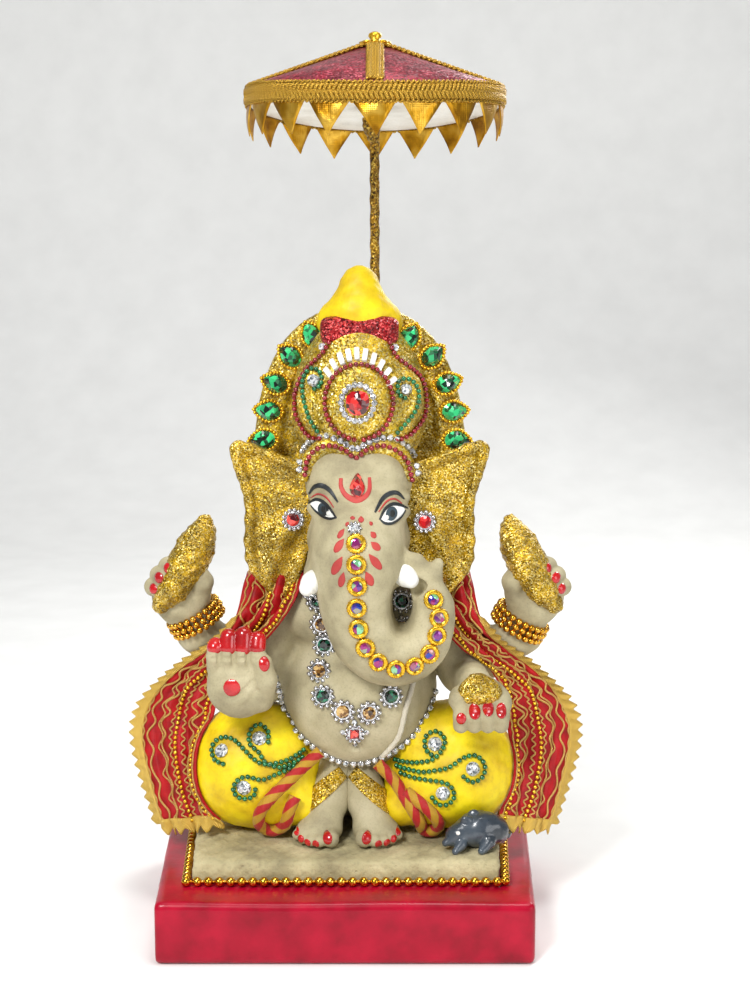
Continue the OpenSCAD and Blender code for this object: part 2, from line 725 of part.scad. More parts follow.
// Lace beyond the outer edge of the hanging part
module shawl_lace() {
    color("goldenrod") modelled() for (side = [-1, 1]) difference() {
        pairs = shawl_side(side);
        strip([for (i = [6:len(pairs) - 1]) let (p = pairs[i], d = (p[1] - p[0]) / norm(p[1] - p[0]))
            [p[1], p[1] + d * (lace_w - shawl_t / 4)]], shawl_t / 2);
        strip(pairs, shawl_t);
        clay_under_cloth(side);
    }
}

// ------------------------------------------------------------ umbrella
module umbrella_pole() {
    color("goldenrod") translate([pole_pos[0], pole_pos[1], 0]) union() {
        translate([0, 0, plinth_z - socket_depth])
            cylinder(h = canopy_lift + socket_depth + rim_h + 6, d = pole_d);
        translate([0, 0, rim_z - 3.1]) cylinder(h = 3, d = pole_d + 4);
    }
}
module on_pole() {
    translate([pole_pos[0], pole_pos[1], rim_z]) children();
}
module pole_bore() { translate([0, 0, -5]) cylinder(h = rim_h + canopy_h, r = pole_d / 2 + pole_gap); }
module canopy_lining() {
    color("white") on_pole() difference() {
        cylinder(h = 2, r = canopy_r - 3);
        pole_bore();
    }
}
module canopy_cone() {
    r = canopy_r - 3;
    color("firebrick") on_pole() difference() {
        rotate_extrude() polygon([[0, rim_h + canopy_h - card_t], [r - 1, rim_h - card_t], [r - 1, 2.05],
            [r, 2.05], [r, rim_h], [0, rim_h + canopy_h]]);
        pole_bore();
    }
}
module canopy_braids() {
    color("goldenrod") on_pole() {
        rotate_extrude() polygon([[canopy_r - 2.9, 0], [canopy_r, 1], [canopy_r, rim_h - 1],
            [canopy_r - 2.9, rim_h - 0.5]]);
        slope = atan(canopy_h / (canopy_r - 3));
        for (a = [0:90:270]) rotate(a) translate([0, 0, rim_h + canopy_h]) rotate([0, slope, 0])
            translate([rib_start, -rib_w / 2, 0.1])
            cube([(canopy_r - 3) / cos(slope) - rib_start - 1, rib_w, 1.4]);
    }
}
module pennants() {
    w = 2 * PI * canopy_r / pennant_count - 2;
    color("gold") on_pole() for (i = [0:pennant_count - 1]) rotate(360 * i / pennant_count)
        translate([canopy_r - 3.4, 0, -0.1]) rotate([90, 180, 90])
        linear_extrude(0.6) polygon([[-w / 2, 0], [w / 2, 0], [0, pennant_h]]);
}
module finial() {
    color("goldenrod") on_pole() translate([0, 0, rim_h + canopy_h + 0.3]) rotate_extrude()
        polygon([[0, 0], [7, -2.6], [7.5, -1.4], [3, 1.4], [3.4, 3.4], [1.6, 5], [0, 5.4]]);
}

base_block();
clay_plinth();
base_ball_chain();
torso();
right_thigh();
left_thigh();
right_foot();
left_foot();
right_arm();
left_arm();
blessing_hand();
offering_hand();
right_rear_arm();
left_rear_arm();
right_conch();
left_conch();
modak();
head();
trunk();
tusks();
right_ear();
left_ear();
halo();
crown();
crown_band();
crown_peak();
mouse();
crown_gem();
crown_gem_ring();
crown_fan_stones();
crown_oval_beads();
crown_outline_beads();
crown_green_beads();
leaf_frames();
leaf_gems();
hairline_stones();
hairline_beads();
forehead_gem();
ear_studs();
ear_stud_gems();
trunk_settings();
trunk_mirrors();
necklace_flowers();
necklace_gems();
necklace_pendant();
waist_chain();
sacred_thread();
right_bracelets();
left_bracelets();
dhoti_bead_scrolls();
dhoti_stones();
hem_ropes();
shawl();
shawl_lace();
umbrella_pole();
canopy_cone();
canopy_lining();
canopy_braids();
pennants();
finial();
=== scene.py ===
"""A seated clay idol with an elephant's head, dressed in craft ornaments, under a paper umbrella.

Sizes here are in millimetres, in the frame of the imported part, and become metres when a mesh is made.
"""

import logging
import math
from collections.abc import Callable, Iterable, Sequence
from dataclasses import dataclass, field
from enum import Enum

import bpy
import numpy as np
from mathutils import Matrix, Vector, geometry
from mathutils.bvhtree import BVHTree


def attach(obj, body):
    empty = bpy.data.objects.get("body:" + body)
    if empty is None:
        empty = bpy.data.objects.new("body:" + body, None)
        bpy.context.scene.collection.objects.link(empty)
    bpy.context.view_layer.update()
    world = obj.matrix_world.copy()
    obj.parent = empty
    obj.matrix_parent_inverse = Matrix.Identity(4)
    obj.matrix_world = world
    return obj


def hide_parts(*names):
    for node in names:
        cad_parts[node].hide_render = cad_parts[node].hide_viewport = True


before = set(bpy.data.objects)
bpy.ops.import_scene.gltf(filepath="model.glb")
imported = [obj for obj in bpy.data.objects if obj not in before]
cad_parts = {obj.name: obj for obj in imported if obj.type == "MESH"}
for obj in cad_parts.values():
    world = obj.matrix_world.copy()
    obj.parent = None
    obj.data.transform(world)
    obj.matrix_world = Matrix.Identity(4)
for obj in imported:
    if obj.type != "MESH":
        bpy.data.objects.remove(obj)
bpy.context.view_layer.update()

LOG = logging.getLogger("idol")
MM = 0.001
Array = np.ndarray
Point = Sequence[float]
Outline = Sequence[Sequence[float]]


# ------------------------------------------------------------- finishes
def linear(colour: str) -> tuple[float, float, float, float]:
    """Turns an sRGB hex colour to linear values.

    Args:
        colour: such as "#d8cfaf".

    Returns:
        Red, green, blue and an alpha of 1.
    """
    parts = [int(colour[i : i + 2], 16) / 255 for i in (1, 3, 5)]
    r, g, b = (p / 12.92 if p <= 0.04045 else ((p + 0.055) / 1.055) ** 2.4 for p in parts)
    return r, g, b, 1.0


def add(tree: bpy.types.NodeTree, kind: str, inputs: dict | None = None, **settings: object) -> bpy.types.Node:
    """Adds a node with its settings, values and links.

    Args:
        tree: the node tree.
        kind: the node's type.
        inputs: socket name or number to a value, or to an output to link.
        settings: the node's own properties.

    Returns:
        The node.
    """
    node = tree.nodes.new(kind)
    for name, value in settings.items():
        setattr(node, name, value)
    for name, value in (inputs or {}).items():
        if isinstance(value, bpy.types.NodeSocket):
            tree.links.new(value, node.inputs[name])
        else:
            node.inputs[name].default_value = value
    return node


class Grain(Enum):
    """What the surface of a finish is made of."""

    CLAY = "clay"
    BRUSHED = "brushed"
    GLITTER = "glitter"
    METAL = "metal"
    STONE = "stone"
    SATIN = "satin"
    TWIST = "twist"
    THREAD = "thread"
    FOIL = "foil"


@dataclass(frozen=True)
class Finish:
    """A finish: its colours, the real size of its grain and how it takes light.

    colour is the main one. shade is the darker one: painted shade in the grooves of threads and foil, painted dark
    flakes and facets on glitter and cut stones, the second strand of a twisted cord, and random darker patches on clay,
    paint, metal and satin. light is the lighter one: a painted highlight on raised threads and foil, a painted sparkle
    on glitter and cut stones, and random lighter patches, like rubbing on metal, elsewhere.
    grain_mm is the width of one grain, thread or facet, and relief_mm how far it stands out.
    """

    name: str
    grain: Grain
    colour: str
    shade: str
    light: str
    grain_mm: float
    relief_mm: float
    rough: float
    metal: float = 0.0
    coat: float = 0.0
    ior: float = 1.5
    sheen: float = 0.0

    def material(self) -> bpy.types.Material:
        """Builds the material once, and returns it each time."""
        found = bpy.data.materials.get(self.name + "_surface")
        if found:
            return found
        made = bpy.data.materials.new(self.name + "_surface")
        made.use_nodes = True
        made.diffuse_color = linear(self.colour)
        tree = made.node_tree
        shader = tree.nodes["Principled BSDF"]
        for socket, value in (
            ("Metallic", self.metal),
            ("IOR", self.ior),
            ("Coat Weight", self.coat),
            ("Coat Roughness", 0.08),
            ("Sheen Weight", self.sheen),
        ):
            shader.inputs[socket].default_value = value
        painters: dict[Grain, Callable] = {
            Grain.CLAY: self._clay,
            Grain.BRUSHED: self._clay,
            Grain.GLITTER: self._flakes,
            Grain.STONE: self._flakes,
            Grain.METAL: self._metal,
            Grain.SATIN: self._threads,
            Grain.TWIST: self._threads,
            Grain.THREAD: self._threads,
            Grain.FOIL: self._foil,
        }
        painters[self.grain](tree, shader)
        return made

    def _place(self, tree: bpy.types.NodeTree, width_mm: float) -> tuple[bpy.types.NodeSocket, float]:
        """Returns object coordinates and the scale that makes one cell width_mm wide."""
        return add(tree, "ShaderNodeTexCoord").outputs["Object"], 1.0 / (width_mm * MM)

    def _ramp(self, tree: bpy.types.NodeTree, value: bpy.types.NodeSocket, stops: Iterable[tuple[float, str]]):
        """Colours a value by stops of place and hex colour, and returns the colour."""
        node = add(tree, "ShaderNodeValToRGB", {"Fac": value})
        marks = node.color_ramp.elements
        for i, (place, colour) in enumerate(stops):
            mark = marks[i] if i < 2 else marks.new(place)
            mark.position, mark.color = place, linear(colour)
        return node.outputs["Color"]

    def _bump(self, tree: bpy.types.NodeTree, height: bpy.types.NodeSocket, depth_mm: float, normal=None):
        """Returns a normal raised by a height, over another one if it is given."""
        ins = {"Height": height, "Distance": depth_mm * MM, "Strength": 1.0}
        if normal is not None:
            ins["Normal"] = normal
        return add(tree, "ShaderNodeBump", ins).outputs["Normal"]

    def _clay(self, tree: bpy.types.NodeTree, shader: bpy.types.Node) -> None:
        """Hand-worked clay or paint on it: broad tones, fine grit and a few pits."""
        where, fine = self._place(tree, self.grain_mm)
        broad = add(tree, "ShaderNodeTexNoise", {"Vector": where, "Scale": 1 / (16 * MM), "Detail": 4.0})
        grit = add(tree, "ShaderNodeTexNoise", {"Vector": where, "Scale": fine, "Detail": 5.0, "Roughness": 0.65})
        pits = add(tree, "ShaderNodeTexVoronoi", {"Vector": where, "Scale": 1 / (4.2 * MM)})
        tone = self._ramp(
            tree, broad.outputs["Fac"], [(0.3, self.shade), (0.7, self.light), (0.48, self.colour)]
        )
        speck = self._ramp(tree, grit.outputs["Fac"], [(0.30, "#a8a8a8"), (0.5, "#ffffff")])
        mix = add(tree, "ShaderNodeMix", data_type="RGBA", blend_type="MULTIPLY")
        mix.inputs[0].default_value = 0.3 if self.grain is Grain.CLAY else 0.2
        tree.links.new(tone, mix.inputs[6])
        tree.links.new(speck, mix.inputs[7])
        tree.links.new(mix.outputs[2], shader.inputs["Base Color"])
        rough = add(
            tree, "ShaderNodeMapRange",
            {"Value": grit.outputs["Fac"], "To Min": self.rough - 0.1, "To Max": min(1.0, self.rough + 0.1)},
        )
        tree.links.new(rough.outputs["Result"], shader.inputs["Roughness"])
        dent = add(tree, "ShaderNodeMapRange", {"Value": pits.outputs["Distance"], "From Min": 0.02, "From Max": 0.14})
        first = self._bump(tree, dent.outputs["Result"], self.relief_mm * (0.5 if self.grain is Grain.CLAY else 0.12))
        tree.links.new(self._bump(tree, grit.outputs["Fac"], self.relief_mm, first), shader.inputs["Normal"])

    def _flakes(self, tree: bpy.types.NodeTree, shader: bpy.types.Node) -> None:
        """Glitter or cut facets: each cell leans its own way, so some flash and some stay dark, and each cell's colour
        also runs at random from shade to light, as painted shade and a painted sparkle.
        """
        where, fine = self._place(tree, self.grain_mm)
        cells = add(tree, "ShaderNodeTexVoronoi", {"Vector": where, "Scale": fine})
        pick = add(tree, "ShaderNodeSeparateColor", {"Color": cells.outputs["Color"]})
        glitter = self.grain is Grain.GLITTER
        # painted shade and painted sparkle: each cell's colour is picked between the dark shade and the bright light
        # colour
        stops = (
            [(0.12, self.shade), (0.9, self.light), (0.34, self.colour), (0.72, self.colour)]
            if glitter
            else [(0.15, self.shade), (0.97, self.light), (0.5, self.colour)]
        )
        tone = self._ramp(tree, pick.outputs["Red"], stops)
        if glitter:
            # thin places where the paint under the flakes shows
            bare = add(tree, "ShaderNodeTexNoise", {"Vector": where, "Scale": 1 / (7 * MM), "Detail": 5.0})
            clear = self._ramp(tree, bare.outputs["Fac"], [(0.42, "#8c8c8c"), (0.6, "#ffffff")])
            mix = add(tree, "ShaderNodeMix", data_type="RGBA", blend_type="MULTIPLY")
            mix.inputs[0].default_value = 0.6
            tree.links.new(tone, mix.inputs[6])
            tree.links.new(clear, mix.inputs[7])
            tone = mix.outputs[2]
        tree.links.new(tone, shader.inputs["Base Color"])
        shader.inputs["Roughness"].default_value = self.rough
        lean = add(tree, "ShaderNodeVectorMath", {0: cells.outputs["Color"], 1: (0.5, 0.5, 0.5)}, operation="SUBTRACT")
        more = add(tree, "ShaderNodeVectorMath", {0: lean.outputs[0]}, operation="SCALE")
        more.inputs["Scale"].default_value = self.relief_mm
        face = add(tree, "ShaderNodeNewGeometry").outputs["Normal"]
        total = add(tree, "ShaderNodeVectorMath", {0: more.outputs[0], 1: face}, operation="ADD")
        even = add(tree, "ShaderNodeVectorMath", {0: total.outputs[0]}, operation="NORMALIZE")
        tree.links.new(even.outputs[0], shader.inputs["Normal"])

    def _metal(self, tree: bpy.types.NodeTree, shader: bpy.types.Node) -> None:
        """Plated metal or glass: an even skin with slight rubbing."""
        where, fine = self._place(tree, self.grain_mm)
        rub = add(tree, "ShaderNodeTexNoise", {"Vector": where, "Scale": fine, "Detail": 3.0})
        tone = self._ramp(tree, rub.outputs["Fac"], [(0.3, self.shade), (0.72, self.light), (0.5, self.colour)])
        tree.links.new(tone, shader.inputs["Base Color"])
        rough = add(
            tree, "ShaderNodeMapRange",
            {"Value": rub.outputs["Fac"], "To Min": max(0.02, self.rough - 0.06), "To Max": self.rough + 0.08},
        )
        tree.links.new(rough.outputs["Result"], shader.inputs["Roughness"])
        tree.links.new(self._bump(tree, rub.outputs["Fac"], self.relief_mm), shader.inputs["Normal"])

    def _threads(self, tree: bpy.types.NodeTree, shader: bpy.types.Node) -> None:
        """Cloth, cord or metallic thread, drawn on the piece's own map, whose unit is a millimetre."""
        where = add(tree, "ShaderNodeUVMap", uv_map="UVMap").outputs["UV"]
        angle = {Grain.SATIN: 0.0, Grain.TWIST: 0.9, Grain.THREAD: 0.6}[self.grain]
        turned = add(tree, "ShaderNodeMapping", {"Vector": where, "Rotation": (0.0, 0.0, angle)}).outputs["Vector"]
        ply = add(
            tree, "ShaderNodeTexWave",
            {"Vector": turned, "Scale": 0.314 / self.grain_mm, "Distortion": 1.2, "Detail": 1.0, "Detail Scale": 0.6},
            wave_type="BANDS", bands_direction="X",
        )
        cross = add(
            tree, "ShaderNodeTexWave", {"Vector": turned, "Scale": 0.314 / self.grain_mm, "Distortion": 0.4},
            wave_type="BANDS", bands_direction="Y",
        )
        drift = add(tree, "ShaderNodeTexNoise", {"Vector": where, "Scale": 0.16, "Detail": 3.0})
        # on plain thread the colour follows the bump's bands: painted shade in the grooves and a painted highlight on
        # the raised threads
        value = ply.outputs["Fac"]
        if self.grain is Grain.SATIN:
            value = drift.outputs["Fac"]
        if self.grain is Grain.TWIST:
            strand = add(
                tree, "ShaderNodeTexWave", {"Vector": turned, "Scale": 0.314 / 7.0, "Distortion": 0.3},
                wave_type="BANDS", bands_direction="X",
            )
            value = strand.outputs["Fac"]
        sharp = self.grain is Grain.TWIST
        stops = (
            [(0.46, self.shade), (0.54, self.colour)]
            if sharp
            else [(0.25, self.shade), (0.82, self.light), (0.5, self.colour)]
        )
        tree.links.new(self._ramp(tree, value, stops), shader.inputs["Base Color"])
        shader.inputs["Roughness"].default_value = self.rough
        first = self._bump(tree, cross.outputs["Fac"], self.relief_mm * 0.5)
        tree.links.new(self._bump(tree, ply.outputs["Fac"], self.relief_mm, first), shader.inputs["Normal"])

    def _foil(self, tree: bpy.types.NodeTree, shader: bpy.types.Node) -> None:
        """Embossed metal foil: a fine waffle with creases, coloured darker in the creases as painted shade and lighter
        on the rises as a painted highlight.
        """
        where, fine = self._place(tree, self.grain_mm)
        dots = add(tree, "ShaderNodeTexVoronoi", {"Vector": where, "Scale": fine, "Randomness": 0.12})
        crease = add(tree, "ShaderNodeTexNoise", {"Vector": where, "Scale": 1 / (9 * MM), "Detail": 2.0})
        # painted shade and painted highlight: the colour follows the crease bump, dark where it dips
        tone = self._ramp(tree, crease.outputs["Fac"], [(0.32, self.shade), (0.68, self.light), (0.5, self.colour)])
        tree.links.new(tone, shader.inputs["Base Color"])
        shader.inputs["Roughness"].default_value = self.rough
        first = self._bump(tree, crease.outputs["Fac"], 1.2)
        tree.links.new(self._bump(tree, dots.outputs["Distance"], self.relief_mm, first), shader.inputs["Normal"])


# unfired river clay: grey buff, dull, with grit and pits
CLAY = Finish("raw_clay", Grain.CLAY, "#aea482", "#91876a", "#c2b897", 0.9, 0.12, 0.82)
PLINTH_CLAY = Finish("rough_clay", Grain.CLAY, "#b3a880", "#948a68", "#cbbf96", 1.8, 0.7, 0.9)
# brushed enamel on wood: deep red under a wet gloss
RED_ENAMEL = Finish("red_enamel", Grain.BRUSHED, "#a00225", "#88021d", "#b4062d", 6.0, 0.12, 0.32, coat=0.12, ior=1.32)
# poster colour on clay: strong and chalky
YELLOW_PAINT = Finish("yellow_poster_colour", Grain.BRUSHED, "#e8ca00", "#cda600", "#f8e004", 1.6, 0.08, 0.55)
RED_PAINT = Finish("red_nail_enamel", Grain.BRUSHED, "#b80a12", "#94060c", "#cf1a1e", 1.0, 0.03, 0.25, coat=0.6)
RED_STROKE = Finish("thin_red_paint", Grain.BRUSHED, "#b53a35", "#a03532", "#c44a40", 1.2, 0.03, 0.6)
BLACK_PAINT = Finish("black_paint", Grain.BRUSHED, "#23282a", "#191c1e", "#343a3c", 1.0, 0.03, 0.45)
IRIS_PAINT = Finish("grey_iris_paint", Grain.BRUSHED, "#35424a", "#1d2428", "#4b5b63", 0.8, 0.02, 0.35)
WHITE_PAINT = Finish("white_poster_colour", Grain.BRUSHED, "#e9e9e4", "#d6d6d0", "#f6f6f2", 1.4, 0.05, 0.5)
SLATE_PAINT = Finish("slate_gloss_paint", Grain.BRUSHED, "#37404a", "#222a31", "#525d67", 1.6, 0.12, 0.3, coat=0.5)
# glitter glue: flakes drawn 0.7 mm wide, larger than real ones, so that they show; each flake's colour is set at random
# from shade, painted shade, to light, a painted sparkle
GOLD_GLITTER = Finish("gold_glitter", Grain.GLITTER, "#cfa516", "#6e5206", "#ffe890", 0.5, 0.85, 0.32, metal=0.45)
CROWN_GOLD = Finish("gold_glitter_crown", Grain.GLITTER, "#dbb524", "#8c6a10", "#fff0a0", 0.6, 0.7, 0.34, metal=0.4)
RED_GLITTER = Finish("red_glitter", Grain.GLITTER, "#a80d16", "#4d0408", "#ff6a66", 0.6, 1.0, 0.28, metal=0.4)
# gilt plating over brass or plastic
GILT = Finish("gilt_plating", Grain.METAL, "#d9a132", "#b47a1c", "#f0c25a", 2.0, 0.01, 0.2, metal=1.0)
SETTING_GOLD = Finish("stamped_gold_setting", Grain.METAL, "#e8b828", "#bb8412", "#ffd95c", 1.2, 0.03, 0.26, metal=0.75)
SILVER = Finish("silver_claw_plating", Grain.METAL, "#d0d0d2", "#8c8c90", "#f6f6f8", 0.9, 0.03, 0.16, metal=0.85)
# cut glass: dark body, flashing facets; each facet's colour is set at random from shade, a painted dark reflection, to
# light, a painted flash
CLEAR_STONE = Finish("rhinestone", Grain.STONE, "#d9dee2", "#6c7278", "#ffffff", 0.9, 0.8, 0.05, metal=0.35, coat=1.0)
GREEN_STONE = Finish("green_glass_stone", Grain.STONE, "#06502e", "#03140d", "#3fe08c", 2.2, 0.55, 0.05, coat=1.0)
DARK_STONE = Finish("bottle_green_stone", Grain.STONE, "#07211a", "#020807", "#2f8a68", 1.6, 0.5, 0.05, coat=1.0)
AMBER_STONE = Finish("amber_glass_stone", Grain.STONE, "#8a5a18", "#3a2208", "#f4d08a", 1.3, 0.7, 0.06, coat=1.0)
RED_STONE = Finish("red_glass_stone", Grain.STONE, "#c00410", "#48000a", "#ff5a50", 2.4, 0.5, 0.05, coat=1.0)
MIRROR = Finish("foil_mirror", Grain.STONE, "#a8206a", "#1638a0", "#8ad8a0", 3.0, 0.3, 0.05, metal=0.5, coat=1.0)
# pearl-coated plastic beads
RED_BEAD = Finish("red_pearl_bead", Grain.METAL, "#8c0a1c", "#5f0512", "#b01a2c", 2.0, 0.0, 0.2, metal=0.25, coat=0.8)
GREEN_BEAD = Finish(
    "green_pearl_bead", Grain.METAL, "#0b6b3c", "#064526", "#178a50", 2.0, 0.0, 0.2, metal=0.25, coat=0.8
)
WHITE_BEAD = Finish("white_kundan_enamel", Grain.METAL, "#efeee9", "#d8d6ce", "#ffffff", 1.5, 0.02, 0.25, coat=0.5)
# cloth and cords: threads drawn 0.4 to 0.8 mm wide, coarser than real ones, so that they show; on lace, cords, braid
# and cotton, shade is painted shade in the grooves and light a painted highlight on the raised threads
SATIN = Finish("red_satin", Grain.SATIN, "#a30911", "#78050a", "#c41a20", 0.7, 0.05, 0.46, sheen=0.03, ior=1.32)
ROPE = Finish("twisted_rope", Grain.TWIST, "#b40f13", "#c0921c", "#d6ac30", 0.6, 0.12, 0.45, sheen=0.1)
LACE = Finish("gold_zari_lace", Grain.THREAD, "#ecb424", "#a4700e", "#ffe276", 0.5, 0.14, 0.34, metal=0.25)
CORD = Finish("gold_zari_cord", Grain.THREAD, "#d2a03a", "#9c6e1e", "#f2d082", 0.5, 0.12, 0.38, metal=0.45)
BRAID = Finish("gold_braid", Grain.THREAD, "#b8860f", "#6e4c08", "#edc04a", 0.6, 0.16, 0.36, metal=0.6)
COTTON = Finish("cotton_thread", Grain.THREAD, "#ded6be", "#b8ae92", "#f4eede", 0.4, 0.1, 0.85)
# the flakes' colours run from painted shade to a painted sparkle
CANOPY_GLITTER = Finish("red_glitter_paper", Grain.GLITTER, "#8e1a2c", "#5a101d", "#cf5668", 0.8, 0.5, 0.4, metal=0.25)
CARD = Finish("white_card", Grain.BRUSHED, "#ece9e0", "#dedad0", "#f6f4ee", 1.2, 0.02, 0.7)
# shade is painted shade in the creases and light a painted highlight on the raised foil
FOIL = Finish("embossed_gold_foil", Grain.FOIL, "#c48f1e", "#93640e", "#e3b648", 0.8, 0.12, 0.36, metal=0.9)
# the flakes' colours run from painted shade to a painted sparkle
POLE_WRAP = Finish("gold_glitter_wrap", Grain.GLITTER, "#a97c10", "#5c4006", "#e6c050", 0.7, 0.8, 0.36, metal=0.5)
FLOOR = Finish("pale_floor", Grain.METAL, "#f4f4f2", "#f1f1ef", "#f7f7f5", 40.0, 0.0, 0.75)


# --------------------------------------------------------------- shapes
def bend(points: Outline, per: int = 6, closed: bool = False) -> Array:
    """Runs a smooth curve through points.

    Args:
        points: the points, in any dimension.
        per: samples for each span.
        closed: whether the last point leads to the first.

    Returns:
        The samples, one row each.
    """
    p = np.asarray(points, float)
    n = len(p)
    spans = n if closed else n - 1
    out = []
    for i in range(spans):
        if closed:
            a, b, c, d = (p[(i + k) % n] for k in (-1, 0, 1, 2))
        else:
            a, b, c, d = (p[min(max(i + k, 0), n - 1)] for k in (-1, 0, 1, 2))
        for t in np.arange(per) / per:
            out.append(
                0.5 * (2 * b + (c - a) * t + (2 * a - 5 * b + 4 * c - d) * t**2 + (3 * b - a - 3 * c + d) * t**3)
            )
    if not closed:
        out.append(p[-1])
    return np.array(out)


def evenly(path: Array, pitch: float) -> Array:
    """Returns points spaced a pitch apart along a path."""
    steps = np.r_[0, np.cumsum(np.linalg.norm(np.diff(path, axis=0), axis=1))]
    places = np.linspace(0, steps[-1], max(2, round(steps[-1] / pitch) + 1))
    return np.stack([np.interp(places, steps, path[:, k]) for k in range(path.shape[1])], 1)


def unit(v: Array) -> Array:
    """Scales vectors to a length of 1."""
    return v / np.maximum(np.linalg.norm(v, axis=-1, keepdims=True), 1e-9)


def solid(
    name: str,
    verts: Array,
    faces: Array | list,
    finish: Finish,
    uv: Array | None = None,
    smooth: bool = True,
) -> bpy.types.Object:
    """Makes a mesh object from millimetres, at the origin.

    Args:
        name: the piece's name.
        verts: the corners.
        faces: rows of corner numbers.
        finish: what it is covered with.
        uv: one pair for each face corner, in millimetres.
        smooth: whether the faces are shaded as one skin.

    Returns:
        The object, linked to the scene.
    """
    mesh = bpy.data.meshes.new(name)
    mesh.from_pydata((np.asarray(verts, float) * MM).tolist(), [], [list(map(int, f)) for f in faces])
    if uv is not None:
        mesh.uv_layers.new(name="UVMap").data.foreach_set("uv", np.asarray(uv, np.float32).ravel())
    mesh.polygons.foreach_set("use_smooth", [smooth] * len(mesh.polygons))
    mesh.materials.append(finish.material())
    mesh.update()
    made = bpy.data.objects.new(name, mesh)
    bpy.context.scene.collection.objects.link(made)
    return made


def fit(piece: bpy.types.Object, body: str, slot: str, *nodes: str) -> bpy.types.Object:
    """Mounts a piece on a body and hides the nodes it stands for.

    Args:
        piece: the finished piece.
        body: the CAD body it moves with.
        slot: the record's material slot; not used.
        nodes: the CAD nodes it stands for.

    Returns:
        The piece.
    """
    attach(piece, body)
    if nodes:
        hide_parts(*nodes)
    LOG.info("%s: %d faces on %s", piece.name, len(piece.data.polygons), body)
    return piece


def smooth_min(a: Array, b: Array, k: float) -> Array:
    """Joins two distances with a fillet of about k."""
    h = np.maximum(k - np.abs(a - b), 0) / k
    return np.minimum(a, b) - h * h * k / 4


@dataclass
class Form:
    """One form of a clay piece: its distance measure, its box, its fillet and whether it is carved away."""

    measure: Callable[[Array], Array]
    low: Array
    high: Array
    blend: float
    cut: bool


CORNERS = np.array([(i, j, k) for i in (0, 1) for j in (0, 1) for k in (0, 1)])


